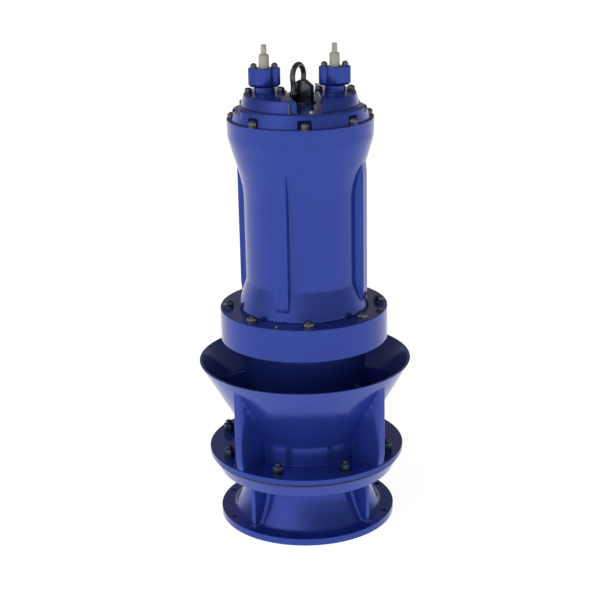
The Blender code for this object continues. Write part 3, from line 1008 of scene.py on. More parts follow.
@dataclass
class Seat:
    """Seat ring with its rubber ring, wear ring and the bolts that clamp it to the bell."""

    ring: Extent = Extent.of("seat_ring")
    wear: Extent = Extent.of("wear_ring")
    bore_r: float = 0.1520
    liner_r: float = 0.1462
    cone_foot_r: float = 0.2350
    cone_r: float = 0.2525
    groove_r: float = 0.2490
    groove: Point = (0.1755, 0.1835)
    bolts: int = 8
    bolt_circle: float = 0.2260
    first_bolt: float = 22.5
    bolt_turn: float = 15.0
    bolt: HexFastener = HexFastener(24 * MM, 19 * MM, 15 * MM, 3 * MM, stud=8 * MM, stud_out=9 * MM)

    def build(self) -> None:
        """Make the rings and the bolts."""
        ring, wear = self.ring, self.wear
        low, high = self.groove
        profile = rounded([
            (self.bore_r, (ring.high + ring.low) / 2, 0), (self.bore_r, ring.high, 0.6 * MM),
            (ring.radius, ring.high, 2.2 * MM), (ring.radius, high, 1.4 * MM),
            (self.groove_r, high, 0.6 * MM), (self.groove_r, low, 0.6 * MM),
            (self.cone_r, low, 1.4 * MM), (self.cone_foot_r, ring.low, 2.0 * MM),
            (self.bore_r, ring.low, 0.6 * MM)])
        finished("seat_casting", spun(profile, 200), Palette.enamel, ["seat_ring"])
        size = (high - low) / 2 - GAP
        seal = arc((self.groove_r + size + GAP, (high + low) / 2), size, size, 337.5, 15)
        finished("seat_seal", spun(seal, 200), Palette.rubber, ["seat_rubber_ring"], angle=60)
        liner = rounded([(self.liner_r, (wear.low + wear.high) / 2, 0), (self.liner_r, wear.high, 0.8 * MM),
                         (wear.radius, wear.high, 0.5 * MM), (wear.radius, wear.low, 0.5 * MM),
                         (self.liner_r, wear.low, 0.8 * MM)])
        finished("wear_liner", spun(liner), Palette.bronze, ["wear_ring"])
        turns = evenly(self.bolts, self.first_bolt)
        row = self.bolt.row((on_circle(self.bolt_circle, turn, ring.high), turn + self.bolt_turn)
                            for turn in turns)
        finished("seat_bolts", row, Palette.wet_bolt_steel)


@dataclass
class Bowl:
    """Neck, cone with its thin rim, and four outer ribs, one iron casting."""

    rim: Extent = Extent.of("bowl_cone")
    foot: float = Extent.of("bowl_neck").low
    ribs: Ribs = Ribs(45.0, 4, 11.0 * MM, 3.0 * MM)
    rib_r: float = 0.2640
    rib_foot_r: float = 0.2580
    rib_toe: float = 0.0400
    neck_r: float = 0.1735
    bore_r: float = 0.1500
    bore_bend: float = 0.0200
    inside_r: float = 0.1200
    slope: float = tan(radians(29.9))
    wall: float = 0.0068
    lip: float = 0.0016
    lip_low: float = 0.0015
    fillet: float = 0.0022
    foot_fillet: float = 0.0020
    bend: float = 0.0060

    def cone(self, height: np.ndarray) -> np.ndarray:
        """Outer radius of the cone at a height."""
        return self.rim.radius - self.slope * (self.rim.high - height)

    def distance(self, radius: np.ndarray, angle: np.ndarray, height: np.ndarray) -> np.ndarray:
        """Signed distance to the casting above the seat.

        Args:
            radius: distances from the shaft.
            angle: angles round it.
            height: heights.
        Returns:
            Distances, negative inside.
        """
        cone = (radius - self.cone(height)) * cos(atan(self.slope))
        form = smooth_union(radius - self.neck_r, cone, self.bend)
        toe = np.clip((height - self.foot) / self.rib_toe, 0, 1)
        outer = self.rib_foot_r + (self.rib_r - self.rib_foot_r) * np.sin(toe * pi / 2)
        form = smooth_union(form, self.ribs.distance(radius, angle, outer), self.fillet)
        return smooth_union(form, height - self.foot, self.foot_fillet)

    def build(self) -> None:
        """Make the casting."""
        rim = self.rim
        angles = self.ribs.columns(self.neck_r, self.rib_r, self.fillet)
        low = beside(self.foot, 3.0 * MM)
        top = rim.high - self.lip_low
        bend = rim.high - (rim.radius - self.neck_r) / self.slope
        rows = spaced(low[-1], [(bend - 8 * MM, 6), (bend + 8 * MM, 14), (top, 37)])
        heights = np.concatenate([low[:-1], rows])
        outer = cast_radius(self.distance, angles, heights, self.inside_r, rim.radius - 0.2 * MM)
        # The lowest row stays within the ribs, where the fillet would run out over the seat
        outer[0] = np.minimum(outer[0], self.rib_r - 1.0 * MM)
        inner = rim.radius - self.wall
        slant = [(inner - back, rim.high - back / self.slope, 0) for back in (0.03, 0.07)]
        edge = rounded([(rim.radius - self.slope * self.lip_low, top, 0), (rim.radius, rim.high, self.lip),
                        (inner, rim.high, self.lip), *slant,
                        (self.bore_r, rim.high - (inner - self.bore_r) / self.slope, self.bore_bend),
                        (self.bore_r, self.foot, 0)], 6)
        shape = wrapped([Rows.at(outer, heights), Rows.level(edge[1:], len(angles))], angles)
        finished("bowl_casting", shape, Palette.enamel,
                 ["bowl_neck", "bowl_cone"] + numbered("bowl_rib", self.ribs.count))


@dataclass
class Propeller:
    """Bronze propeller with its nose, and the shaft that carries it."""

    hub: Extent = Extent.of("propeller_hub")
    nose: Extent = Extent.of("propeller_nose")
    shaft: Extent = Extent.of("pump_shaft")
    shaft_sink: float = 0.0050
    blades: int = 4
    blade_t: float = 0.0080
    blade_sink: float = 0.0030
    chord: float = 0.1050
    pitch: float = 0.2400
    camber: float = 0.0070
    tip_r: float = 0.1448
    root_share: float = 0.75
    tip_share: float = 1.10
    root_flare: float = 0.0090
    root_growth: float = 0.6
    lean: float = 0.35
    grid: tuple[int, int] = (26, 40)

    def spot(self, outwards: float, around: float, root: float) -> tuple[float, float, float]:
        """A point of the blade's skin, whose sections lie on cylinders round the shaft.

        Args:
            outwards: share of the way from the root to the tip.
            around: share of the way round the section.
            root: radius where the blade starts, inside the hub.
        Returns:
            Radius, angle in radians and height over the blade's middle.
        """
        turn = sin(2 * pi * around)
        radius = root + (self.tip_r - root) * outwards
        spread = (radius - self.hub.radius) / (self.tip_r - self.hub.radius)
        slope = atan(self.pitch / (2 * pi * radius))
        width = self.root_share + (self.tip_share - self.root_share) * spread
        reach = self.chord * 0.5 * cos(2 * pi * around) * width
        near = max(0.0, 1 - (radius - self.hub.radius) / self.root_flare)
        half = self.blade_t / 2 * (1 + self.root_growth * near ** 2) * min(1.0, 1.25 * abs(turn) ** 0.7)
        height = self.camber * turn ** 2 + (half if turn > 0 else -half)
        angle = (reach * cos(slope) - height * sin(slope) * self.lean) / radius
        return radius, angle, reach * sin(slope) + height

    def blade(self, turn: float) -> bmesh.types.BMesh:
        """One twisted blade.

        Args:
            turn: its angle round the shaft in degrees.
        Returns:
            The closed shape.
        """
        middle = (self.hub.low + self.hub.high) / 2
        shape = bmesh.new()
        bmesh.ops.create_grid(shape, x_segments=self.grid[0], y_segments=self.grid[1], size=0.5)
        for vert in shape.verts:
            radius, angle, height = self.spot(vert.co.x + 0.5, vert.co.y + 0.5,
                                              self.hub.radius - self.blade_sink)
            angle += radians(turn)
            vert.co = Vector((radius * sin(angle), -radius * cos(angle), middle + height))
        bmesh.ops.remove_doubles(shape, verts=shape.verts, dist=MERGE)
        bmesh.ops.holes_fill(shape, edges=[item for item in shape.edges if item.is_boundary], sides=0)
        return closed_up(shape)

    def build(self) -> None:
        """Make the propeller and the shaft."""
        hub, nose, shaft = self.hub, self.nose, self.shaft
        tip = arc((0.0, hub.low), hub.radius, nose.low - hub.low, 90, 18)[:-1]
        profile = rounded([(0.0, hub.high, 0), (hub.radius, hub.high, 1.5 * MM),
                           (hub.radius, hub.low + 4 * MM, 0)]) + tip + [(0.0, nose.low)]
        finished("propeller_casting", spun(profile, 96), Palette.bronze,
                 ["propeller_hub", "propeller_nose"] + numbered("propeller_blade", self.blades),
                 joins=[self.blade(turn) for turn in evenly(self.blades)])
        rod = post(shaft.radius, hub.high - self.shaft_sink, shaft.high, 1.0 * MM)
        finished("pump_shaft_rod", spun(rod, 64), Palette.stainless, ["pump_shaft"])


@dataclass
class Diffuser:
    """Guide vanes round the core that carries the drum."""

    core: Extent = Extent.of("diffuser_core")
    bowl: Extent = Extent.of("bowl_cone")
    foot_r: float = 0.0600
    full_z: float = 0.3950
    vanes: int = 7
    first_vane: float = -90.0
    vane_t: float = 0.0080
    vane_edge: float = 0.0020
    vane_sink: float = 0.0040
    vane_outer_top: float = 0.3700
    vane_foot: float = 0.2500

    def wall(self, height: float) -> Point:
        """Where the cone's inner face stands at a height."""
        return self.bowl.radius - Bowl.slope * (self.bowl.high - height) - Bowl.wall, height

    def build(self) -> None:
        """Make the core and fuse the vanes with it."""
        core = self.core
        flank = []
        for share in np.linspace(0.0, 1.0, 25):
            blend = share * share * (3 - 2 * share)
            flank.append((self.foot_r + (core.radius - self.foot_r) * blend,
                          core.low + (self.full_z - core.low) * share))
        profile = [(0.0, core.high), (core.radius, core.high)] + flank[::-1] + [(0.0, core.low)]
        inner = [(radius - self.vane_sink, height) for radius, height in flank if height > self.vane_foot]
        outline = inner + [self.wall(self.vane_outer_top), self.wall(inner[0][1])]
        vanes = [moved(plate(outline, self.vane_t, self.vane_edge), turned(turn))
                 for turn in evenly(self.vanes, self.first_vane)]
        # The water-path enamel's darker colour is painted shade for the dim inside of the cone
        finished("diffuser_casting", spun(profile, 128), Palette.shaded_water_path,
                 ["diffuser_core"] + numbered("guide_vane", self.vanes), joins=vanes)


@dataclass
class Drum:
    """The wide bearing housing with the studs that hold the motor, and its plugs.

    The hexagons of the nuts stand at odd turns, as a spanner leaves them.
    """

    drum: Extent = Extent.of("bearing_housing")
    edge: float = 0.0024
    stud_circle: float = 0.1985
    studs: int = 8
    nut_turn: float = 1.27
    nut: HexFastener = HexFastener(24 * MM, 10.5 * MM, 15 * MM, stud=8 * MM, stud_out=4 * MM)
    plug_circle: float = 0.2075
    vent_at: float = -22.7
    drain_at: float = 67.0
    plug: HexFastener = HexFastener(13 * MM, 6 * MM, 9 * MM, 1.5 * MM)

    def build(self) -> None:
        """Make the housing, its nuts and plugs."""
        drum = self.drum
        profile = post(drum.radius, drum.low, drum.high, self.edge, self.edge)
        finished("bearing_drum", spun(profile, 200), Palette.enamel, ["bearing_housing"])
        row = self.nut.row((on_circle(self.stud_circle, turn, drum.high), self.nut_turn * turn)
                           for turn in evenly(self.studs))
        finished("drum_nuts", row, Palette.bolt_steel)
        for name, angle, turn, finish in (("drum_vent_plug", self.vent_at, 20, Palette.bolt_steel),
                                          ("drum_drain_plug", self.drain_at, 5, Palette.black_steel)):
            row = self.plug.row([(on_circle(self.plug_circle, angle, drum.high), turn)])
            finished(name, row, finish)


@dataclass
class Motor:
    """Motor housing with its conical skirt, wide head and four upright bars.

    The bars' outline gives heights and radii of their outer face: a low step on the skirt, a long
    straight run and an end that dies away into the head's taper.
    """

    head: Extent = Extent.of("motor_housing")
    wall_r: float = 0.1495
    inside_r: float = 0.1000
    skirt_r: float = 0.1705
    skirt_edge: float = 0.5920
    skirt_top: float = 0.6640
    skirt_crease: float = 0.0012
    head_low: float = 1.0385
    head_edge: float = 0.0020
    taper_slope: float = 0.298
    taper_bend: float = 0.0120
    taper_foot: float = 0.8800
    lean: float = 0.96
    bars: Ribs = Ribs(-22.5, 4, 17.5 * MM, 1.6 * MM)
    bar_foot: float = 0.6140
    bar_heights: tuple[float, ...] = (0.6137, 0.6141, 0.6400, 0.9450, 0.9710, 0.9850)
    bar_radii: tuple[float, ...] = (0.1400, 0.1660, 0.1692, 0.1700, 0.1680, 0.1620)
    bar_gone: float = 0.9910
    crease: float = 0.0090
    fillet: float = 0.0022

    def body(self, radius: np.ndarray, height: np.ndarray) -> np.ndarray:
        """Signed distance to the turned body.

        Args:
            radius: distances from the shaft.
            height: heights.
        Returns:
            Distances, negative inside.
        """
        slope = (self.skirt_r - self.wall_r) / (self.skirt_top - self.skirt_edge)
        skirt = self.wall_r + slope * (self.skirt_top - height)
        wall = smooth_union(radius - self.wall_r, (radius - skirt) * self.lean, self.skirt_crease)
        wall = np.maximum(wall, radius - self.skirt_r)
        below = self.head_low - height
        taper = self.head.radius - self.taper_slope * (below + np.hypot(below, self.crease)) / 2
        return smooth_union(wall, (radius - taper) * self.lean, self.taper_bend)

    def distance(self, radius: np.ndarray, angle: np.ndarray, height: np.ndarray) -> np.ndarray:
        """Signed distance to the body with its bars."""
        outer = np.interp(height, self.bar_heights, self.bar_radii)
        return smooth_union(self.body(radius, height), self.bars.distance(radius, angle, outer), self.fillet)

    def build(self) -> None:
        """Make the housing."""
        head = self.head
        angles = self.bars.columns(self.wall_r, max(self.bar_radii), self.fillet)
        top = head.high - self.head_edge
        heights = spaced(self.skirt_edge, [
            (self.bar_foot - 0.3 * MM, 9), (self.bar_foot + 0.1 * MM, 1), (self.bar_heights[2], 9),
            (self.skirt_top - 3 * MM, 7), (self.skirt_top + 3 * MM, 7), (self.taper_foot, 15),
            (self.bar_gone, 37), (self.head_low - 14 * MM, 8), (self.head_low + 10 * MM, 15), (top, 4)])
        outer = cast_radius(self.distance, angles, heights, self.inside_r, head.radius)
        foot = rounded([(0.0, head.low, 0), (self.skirt_r, head.low, 0.8 * MM),
                        (self.skirt_r, self.skirt_edge, 0)])[:-1]
        cap = [(head.radius, head.high), (0.0, head.high)]
        count = len(angles)
        rows = [Rows.level(foot, count), Rows.at(outer, heights), Rows.level(cap, count)]
        finished("motor_casting", wrapped(rows, angles), Palette.enamel, ["motor_housing"])


@dataclass
class Lid:
    """Motor lid: bolt pockets, conical wall with flat sides, two gland pads, bolts, screws, vent post.

    Its top falls a little from the lug to the shoulder. The left pad reaches nearer to the lug than
    the right one, and its inner face runs askew.
    """

    lid: Extent = Extent.of("motor_lid")
    flange_top: float = 1.0842
    foot_r: float = 0.1755
    shoulder_r: float = 0.1682
    shoulder_z: float = 1.1215
    shoulder_edge: float = 0.0060
    side_x: float = 0.1520
    side_z: float = 1.1050
    side_block: tuple[float, float, float] = (0.1, 0.4, 0.1)
    pad_foot_r: float = 0.1510
    pad_top_r: float = 0.1425
    pad_sink: float = 0.0090
    pad_inner: Point = (-0.0340, 0.0460)
    pad_skew: Point = (0.12, 0.0)
    pad_edge: float = 0.0030
    pad_corner: float = 35.0
    crown_r: float = 0.0420
    crown_h: float = 0.0028
    settle: float = 0.0002
    pocket_r: float = 0.0175
    pocket_h: float = 0.0220
    pocket_sink: float = 0.0006
    pocket_edge: float = 0.0025
    bolt_circle: float = 0.1730
    bolts: int = 8
    bolt_turn: float = 20.0
    bolt: HexFastener = HexFastener(20 * MM, 11 * MM, 13.5 * MM, dome=4.5 * MM)
    screws: tuple[Point, ...] = ((0.0185, -0.1535), (-0.0310, 0.1525), (0.0280, 0.1525))
    screw_turn: float = 12.0
    screw: HexFastener = HexFastener(10 * MM, 5 * MM, 7 * MM, 1.2 * MM, dome=2.0 * MM)
    vent: Point = (-0.0355, -0.1510)
    vent_r: float = 0.0026
    vent_h: float = 0.0260
    vent_foot_r: float = 0.0050
    vent_foot_h: float = 0.0050

    def crown(self, spot: Point) -> float:
        """Height of the lid's top at a spot, less what a piece on it settles in."""
        share = max(0.0, hypot(*spot) - self.crown_r) / (self.shoulder_r - self.crown_r)
        return self.shoulder_z - self.crown_h * share - self.settle

    def pad(self, side: int, inner: float, skew: float) -> bmesh.types.BMesh:
        """One gland pad, a part of a low cone that a plane cuts off.

        Args:
            side: -1 for the left pad and 1 for the right.
            inner: X of its inner face at the middle.
            skew: slant of that face.
        Returns:
            The closed shape.
        """
        low = self.shoulder_z - self.pad_sink
        top = self.lid.high
        pad = bmesh.new()
        bmesh.ops.create_cone(pad, cap_ends=True, segments=160, radius1=self.pad_foot_r,
                              radius2=self.pad_top_r, depth=top - low,
                              matrix=Matrix.Translation((0, 0, (top + low) / 2)))
        cut = bmesh.ops.bisect_plane(pad, geom=pad.verts[:] + pad.edges[:] + pad.faces[:],
                                     plane_co=(inner, 0, 0), plane_no=(-side, -side * skew, 0),
                                     clear_outer=True)["geom_cut"]
        rim = [item for item in cut if isinstance(item, bmesh.types.BMEdge)]
        bmesh.ops.holes_fill(pad, edges=rim, sides=0)
        outline = [item for item in pad.edges if min(vert.co.z for vert in item.verts) > top - MERGE
                   and item.calc_face_angle(0.0) > radians(self.pad_corner)]
        bevelled(pad, outline, self.pad_edge, 4)
        return closed_up(pad)

    def beyond_sides(self) -> bmesh.types.BMesh:
        """The blocks that are cut away beyond the flats at both sides.

        Returns:
            Both blocks in one mesh.
        """
        shape = bmesh.new()
        bmesh.ops.create_cube(shape, size=1.0)
        bmesh.ops.scale(shape, vec=self.side_block, verts=shape.verts)
        reach = self.side_x + self.side_block[0] / 2
        height = self.side_z + self.side_block[2] / 2
        return stamped([shape], [Matrix.Translation((way * reach, 0, height)) for way in (-1, 1)])

    def build(self) -> None:
        """Make the lid with its bolts, small screws and vent post."""
        lid = self.lid
        profile = rounded([
            (0.0, self.shoulder_z, 0), (self.crown_r, self.shoulder_z, 0),
            (self.shoulder_r, self.shoulder_z - self.crown_h, self.shoulder_edge),
            (self.foot_r, self.flange_top, 2.5 * MM), (lid.radius, self.flange_top, 1.6 * MM),
            (lid.radius, lid.low - GAP, 0), (0.0, lid.low - GAP, 0)])
        turns = evenly(self.bolts)
        seat = self.flange_top - self.pocket_sink
        pockets = stamped([disc(self.pocket_r, seat, self.pocket_h, 40, self.pocket_edge)],
                          [Matrix.Translation(on_circle(self.bolt_circle, turn)) for turn in turns])
        pads = [self.pad(*sizes) for sizes in zip((-1, 1), self.pad_inner, self.pad_skew)]
        finished("motor_lid_casting", spun(profile), Palette.enamel, ["motor_lid"], joins=pads,
                 cutters=[self.beyond_sides(), pockets])
        row = self.bolt.row((on_circle(self.bolt_circle, turn, seat), turn + self.bolt_turn)
                            for turn in turns)
        finished("lid_bolts", row, Palette.bolt_steel)
        row = self.screw.row((Vector((*spot, self.crown(spot))), self.screw_turn) for spot in self.screws)
        finished("lid_screws", row, Palette.stainless)
        self.vent_post()

    def vent_post(self) -> None:
        """Make the slim vent post at the front left."""
        low = self.crown(self.vent)
        top, shoulder = low + self.vent_h, low + self.vent_foot_h
        profile = rounded([(0.0, top, 0), (self.vent_r, top, 1.2 * MM), (self.vent_r, shoulder, 0.8 * MM),
                           (self.vent_foot_r, shoulder, 0.8 * MM), (self.vent_foot_r, low, 0),
                           (0.0, low, 0)])
        finished("lid_vent_post", spun(profile, 32, self.vent), Palette.bolt_steel)


@dataclass
class Gland:
    """Cable gland: neck, oval collar with its bolts, and the stub of the cable.

    The collar's rows give, in millimetres, how far each row is drawn in from the plan and how far it
    lies above the foot or below the top.
    """

    name: str
    barrel_r: float = 0.0245
    ear_x: float = 0.0285
    ear_r: float = 0.0120
    ear_fillet: float = 0.0030
    seat_r: float = 0.0133
    foot_rows: tuple[Point, ...] = ((6.0, 0.0), (5.0, 0.4), (0.4, 5.4), (0.0, 7.0))
    top_rows: tuple[Point, ...] = ((0.0, 3.0), (0.2, 1.4), (0.8, 0.4), (2.0, 0.0), (3.0, 0.0))
    tie_x: float = 0.0410
    tie: HexFastener = HexFastener(17 * MM, 10 * MM, 11.5 * MM, 2 * MM, dome=3 * MM)
    cap_x: float = 0.0262
    cap: HexFastener = HexFastener(14 * MM, 7 * MM, 9.0 * MM, 1.6 * MM, dome=4 * MM)

    def outline(self, radius: np.ndarray, angle: np.ndarray, _height: np.ndarray) -> np.ndarray:
        """Signed distance to the collar's plan: a barrel with two ears.

        Args:
            radius: distances from the gland's axis.
            angle: angles round it.
            _height: not used, the plan is the same at every height.
        Returns:
            Distances, negative inside.
        """
        across = radius * np.sin(np.radians(angle))
        ahead = -radius * np.cos(np.radians(angle))
        ears = np.hypot(np.maximum(np.abs(across) - self.ear_x, 0), ahead) - self.ear_r
        return smooth_union(radius - self.barrel_r, ears, self.ear_fillet)

    def cylinder(self, name: str, node: str, finish: Finish, edges: Point, sides: int,
                 centre: Point, steps: int = 4) -> None:
        """Make a cylinder on the gland's axis.

        Args:
            name: the piece's name.
            node: CAD node that it stands for.
            finish: the piece's finish.
            edges: roundings of its top and its foot in millimetres.
            sides: facets in the full turn.
            centre: where the gland's axis stands.
            steps: stretches in each rounding.
        """
        low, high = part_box(node)
        profile = post((high.x - low.x) / 2, low.z, high.z, edges[0] * MM, edges[1] * MM, steps)
        finished(name, spun(profile, sides, centre), finish, [node])

    def build(self) -> None:
        """Make both parts of the gland, its bolts and the cable's stub."""
        side = self.name
        low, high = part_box(f"gland_neck_{side}")
        centre = ((low.x + high.x) / 2, 0.0)
        pad = low.z
        self.cylinder(f"gland_{side}_neck", f"gland_neck_{side}", Palette.enamel, (0.5, 0.5), 64, centre)
        top = self.collar(centre)
        self.cylinder(f"cable_{side}_sheath", f"cable_sheath_{side}", Palette.sheath, (8.0, 0.3), 40,
                      centre, 6)
        self.cylinder(f"cable_{side}_core", f"cable_core_{side}", Palette.sheath, (0.8, 0.2), 28, centre)
        for name, bolt, reach, foot, turn, finish in (
                ("tie", self.tie, self.tie_x, pad, 10, Palette.black_steel),
                ("cap", self.cap, self.cap_x, top, 25, Palette.bolt_steel)):
            row = bolt.row((Vector((centre[0] + way * reach, 0, foot)), turn) for way in (-1, 1))
            finished(f"gland_{side}_{name}_bolts", row, finish)

    def collar(self, centre: Point) -> float:
        """Make the oval collar with the seat of the cable.

        Args:
            centre: where the gland's axis stands.
        Returns:
            Height of the collar's top.
        """
        low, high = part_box(f"gland_collar_{self.name}")
        angles = np.linspace(0, 360, 97)
        count = len(angles)
        plan = cast_radius(self.outline, angles, np.array([0.0]), 0.005, 0.06)
        wall = [(inset * MM, low.z + rise * MM) for inset, rise in self.foot_rows]
        wall += [(inset * MM, high.z - drop * MM) for inset, drop in self.top_rows]
        seat_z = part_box(f"cable_sheath_{self.name}")[0].z - GAP
        seat = [(self.seat_r + 1.0 * MM, high.z), (self.seat_r, high.z - 1.0 * MM), (self.seat_r, seat_z),
                (0.0, seat_z)]
        rows = [Rows.level([(0.0, low.z)], count)]
        rows += [Rows(plan - inset, np.full((1, count), height)) for inset, height in wall]
        rows.append(Rows.level(seat, count))
        finished(f"gland_{self.name}_collar", wrapped(rows, angles, centre), Palette.enamel,
                 [f"gland_collar_{self.name}"])
        return high.z


@dataclass
class LiftingEye:
    """Lug on the lid, and the shackle that swings on its pin."""

    turn: float = -32.0
    centre_x: float = -0.0035
    shift: float = 0.0120
    plate_w: float = 0.0540
    plate_t: float = 0.0220
    plate_cut: float = 0.0190
    plate_drop: float = 0.0140
    plate_edge: float = 0.0018
    base_t: float = 0.0030
    pin_z: float = 1.1460
    pin_r: float = 0.0055
    hole_r: float = 0.0063
    head_r: float = 0.0090
    head_t: float = 0.0050
    wire_r: float = 0.0068
    half_gap: float = 0.0192
    half_w: float = 0.0290
    bow_top: float = 1.2157
    leg_low: float = 0.0040
    leg_high: float = 0.0190
    leg_bend: float = 0.0080
    eye_r: float = 0.0095
    eye_edge: float = 0.0018
    bore_reach: float = 0.0600

    def place(self, height: float = 0.0) -> Matrix:
        """Frame of the lug: X along its plate, -Y along the pin towards the front."""
        return Matrix.Translation((self.centre_x, 0, height)) @ turned(self.turn)

    def lying(self, profile: Sequence[Point]) -> bmesh.types.BMesh:
        """A turned shape on the pin's axis; the profile's heights run towards the front."""
        return moved(spun(profile, 40), self.place(self.pin_z) @ Matrix.Rotation(pi / 2, 4, "X"))

    def bore(self, radius: float) -> bmesh.types.BMesh:
        """A hole for the pin through everything on its axis."""
        return self.lying(post(radius, self.bore_reach, -self.bore_reach))

    def build(self) -> None:
        """Make the lug and the shackle."""
        self.lug()
        self.shackle()

    def lug(self) -> None:
        """Make the lug: a thick plate on a round foot, bored for the pin."""
        low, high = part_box("lifting_lug")
        left = self.shift - self.plate_w / 2
        right = self.shift + self.plate_w / 2
        foot = low.z + self.base_t / 2
        drop = high.z - self.plate_drop
        outline = rounded([
            (left, foot, 0), (right, foot, 0), (right, drop, 5 * MM),
            (right - self.plate_cut, high.z, 4 * MM), (left + self.plate_cut, high.z, 4 * MM),
            (left, drop, 5 * MM), (left, foot, 0)])[:-1]
        web = moved(plate(outline, self.plate_t, self.plate_edge), self.place())
        base = post((high.x - low.x) / 2, low.z, low.z + self.base_t, 1.0 * MM, 0.3 * MM)
        finished("lifting_lug_plate", spun(base, 72, ((low.x + high.x) / 2, (low.y + high.y) / 2)),
                 Palette.black_steel, ["lifting_lug"], joins=[web], cutters=[self.bore(self.hole_r)])

    def shackle(self) -> None:
        """Make the bow with its eyes, and the pin."""
        eye = self.half_gap + self.wire_r
        start = self.bow_top - self.pin_z - self.half_w
        leg = [(eye, self.leg_low), (eye, self.leg_high),
               ((eye * 3 + self.half_w) / 4, self.leg_high + self.leg_bend),
               ((eye + self.half_w * 3) / 4, start - self.leg_bend)]
        route = leg + arc((0.0, start), self.half_w, self.half_w, 180, 28)
        route += [(-across, height) for across, height in leg[::-1]]
        bow = moved(swept(route, self.wire_r), self.place(self.pin_z))
        eyes = [self.lying(post(self.eye_r, side * eye + self.wire_r, side * eye - self.wire_r,
                                self.eye_edge, self.eye_edge)) for side in (-1, 1)]
        finished("shackle_bow_wire", bow, Palette.black_steel, ["shackle_bow"], Body.SHACKLE, joins=eyes,
                 cutters=[self.bore(self.pin_r + GAP)])
        back = -self.half_gap - 2 * self.wire_r
        tip = GAP - back
        profile = rounded([(0.0, back - self.head_t, 0), (self.head_r, back - self.head_t, 1.5 * MM),
                           (self.head_r, back - GAP, 0.8 * MM), (self.pin_r, back - GAP, 0),
                           (self.pin_r, tip, 1.0 * MM), (0.0, tip, 0)])
        finished("shackle_pin_rod", self.lying(profile), Palette.bolt_steel, ["shackle_pin"], Body.SHACKLE)


# The picture


@dataclass(frozen=True)
class Viewpoint:
    """Where the photograph was taken from.

    Attributes:
        pitch: how far the camera looks down, in degrees.
        roll: how far it leans to the side.
        yaw: how far its stand is turned round the shaft.
        place: its stand before that turn.
        focal: its focal length in pixels of the photograph.
        pixels: width of the photograph in pixels.
        sensor: width of the sensor in millimetres.
        far: how far it sees.
    """

    pitch: float = 17.92
    roll: float = 1.135
    yaw: float = -3.0
    place: tuple[float, float, float] = (-0.00994, -3.5785, 1.7542)
    focal: float = 1429.06
    pixels: float = 600.0
    sensor: float = 36.0
    far: float = 100.0

    def build(self) -> None:
        """Put the camera there."""
        pitch, roll = radians(self.pitch), radians(self.roll)
        ahead = Vector((0, cos(pitch), -sin(pitch)))
        up = Vector((0, sin(pitch), cos(pitch)))
        right = Vector((1, 0, 0))
        x_axis = cos(roll) * right - sin(roll) * up
        y_axis = sin(roll) * right + cos(roll) * up
        basis = Matrix((x_axis, y_axis, -ahead)).transposed().to_4x4()
        data = bpy.data.cameras.new("camera")
        data.sensor_width = self.sensor
        data.lens = self.focal / self.pixels * self.sensor
        data.clip_end = self.far
        item = bpy.data.objects.new("camera", data)
        item.matrix_world = turned(self.yaw) @ Matrix.Translation(self.place) @ basis
        bpy.context.scene.collection.objects.link(item)
        bpy.context.scene.camera = item


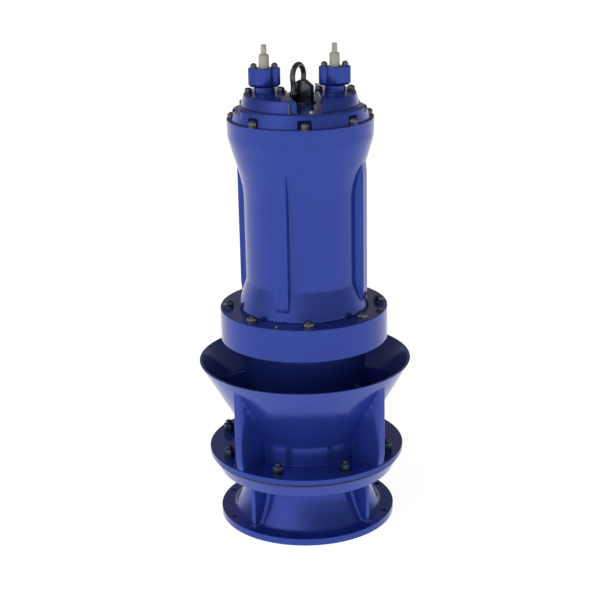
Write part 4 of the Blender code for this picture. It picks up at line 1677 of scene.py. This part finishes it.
@dataclass(frozen=True)
class Studio:
    """Pale floor that lights the pump from below, and soft air that darkens upwards.

    Attributes:
        fade: how fast the air darkens with height, at both sides.
        fade_back: how much faster it darkens towards the back, and slower towards the front.
        low_air: light of the air at the horizon, over that of the high air.
        high_air: light of the high air.
        key_angle: angle of the soft light round the shaft, in degrees.
        key_rise: its angle above the floor.
        key_narrow: how narrow it is.
        key_light: how strong it is.
        brightest: the most that air and soft light give together.
        high_tint: colour of the high air.
        floor_size: half the floor's width.
        floor_grey: how pale the floor is.
        floor_glow: how much light it gives of itself.
    """

    fade: float = -9.5
    fade_back: float = -4.5
    low_air: float = 0.76
    high_air: float = 0.24
    key_angle: float = -46.0
    key_rise: float = 32.0
    key_narrow: float = 6.0
    key_light: float = 1.1
    brightest: float = 1.3
    high_tint: tuple[float, ...] = (0.95, 0.82, 0.66, 1.0)
    floor_size: float = 40.0
    floor_grey: float = 0.35
    floor_glow: float = 0.92

    def air(self) -> None:
        """Make the world: air, soft light and their tint."""
        world = bpy.data.worlds.new("studio")
        bpy.context.scene.world = world
        world.use_nodes = True
        tree = world.node_tree
        ground = tree.nodes["Background"]
        way = add_node(tree, "TexCoord").outputs["Generated"]
        parts = add_node(tree, "SeparateXYZ", links={"Vector": way})
        pace = add_node(tree, "Math", {"operation": "MULTIPLY_ADD", 1: self.fade_back, 2: self.fade},
                        {0: parts.outputs["Y"]})
        rise = add_node(tree, "Math", {"operation": "MULTIPLY"}, {0: parts.outputs["Z"], 1: pace.outputs[0]})
        fall = add_node(tree, "Math", {"operation": "EXPONENT"}, {0: rise.outputs[0]})
        air = add_node(tree, "Math", {"operation": "MULTIPLY_ADD", 1: self.low_air, 2: self.high_air},
                       {0: fall.outputs[0]})
        slant = radians(self.key_rise)
        key = on_circle(cos(slant), self.key_angle, sin(slant))
        facing = add_node(tree, "VectorMath", {"operation": "DOT_PRODUCT", 1: key}, {0: way})
        front = add_node(tree, "Math", {"operation": "MAXIMUM", 1: 0.0}, {0: facing.outputs["Value"]})
        lobe = add_node(tree, "Math", {"operation": "POWER", 1: self.key_narrow}, {0: front.outputs[0]})
        total = add_node(tree, "Math", {"operation": "MULTIPLY_ADD", 1: self.key_light},
                         {0: lobe.outputs[0], 2: air.outputs[0]})
        held = add_node(tree, "Math", {"operation": "MINIMUM", 1: self.brightest}, {0: total.outputs[0]})
        pale = add_node(tree, "Math", {"operation": "ADD", "use_clamp": True},
                        {0: fall.outputs[0], 1: lobe.outputs[0]})
        tint = add_node(tree, "Mix", {"data_type": "RGBA", 6: self.high_tint, 7: (1.0, 1.0, 1.0, 1.0)},
                        {"Factor": pale.outputs[0]})
        tree.links.new(held.outputs[0], ground.inputs["Strength"])
        tree.links.new(tint.outputs[2], ground.inputs["Color"])

    def floor(self) -> None:
        """Make the pale floor, just under the pump's foot."""
        shape = bmesh.new()
        bmesh.ops.create_grid(shape, x_segments=1, y_segments=1, size=self.floor_size)
        floor = placed("floor", shape)
        floor.location.z = -0.5 * MM
        paint = bpy.data.materials.new("pale_floor")
        paint.use_nodes = True
        shader = paint.node_tree.nodes["Principled BSDF"]
        for socket, value in (("Base Color", (self.floor_grey,) * 3 + (1.0,)), ("Roughness", 0.9),
                              ("Specular IOR Level", 0.0), ("Emission Color", (1.0, 1.0, 1.0, 1.0)),
                              ("Emission Strength", self.floor_glow)):
            shader.inputs[socket].default_value = value
        floor.data.materials.append(paint)

    def build(self) -> None:
        """Make the air and the floor."""
        bpy.context.scene.view_settings.view_transform = "Standard"
        self.air()
        self.floor()


def main() -> None:
    """Build every sub-assembly, then the picture around it."""
    logging.basicConfig(level=logging.INFO, format="%(message)s")
    for part in (Inlet(), Seat(), Bowl(), Propeller(), Diffuser(), Drum(), Motor(), Lid(), Gland("left"),
                 Gland("right"), LiftingEye()):
        part.build()
    Studio().build()
    Viewpoint().build()


if __name__ == "__main__":
    main()
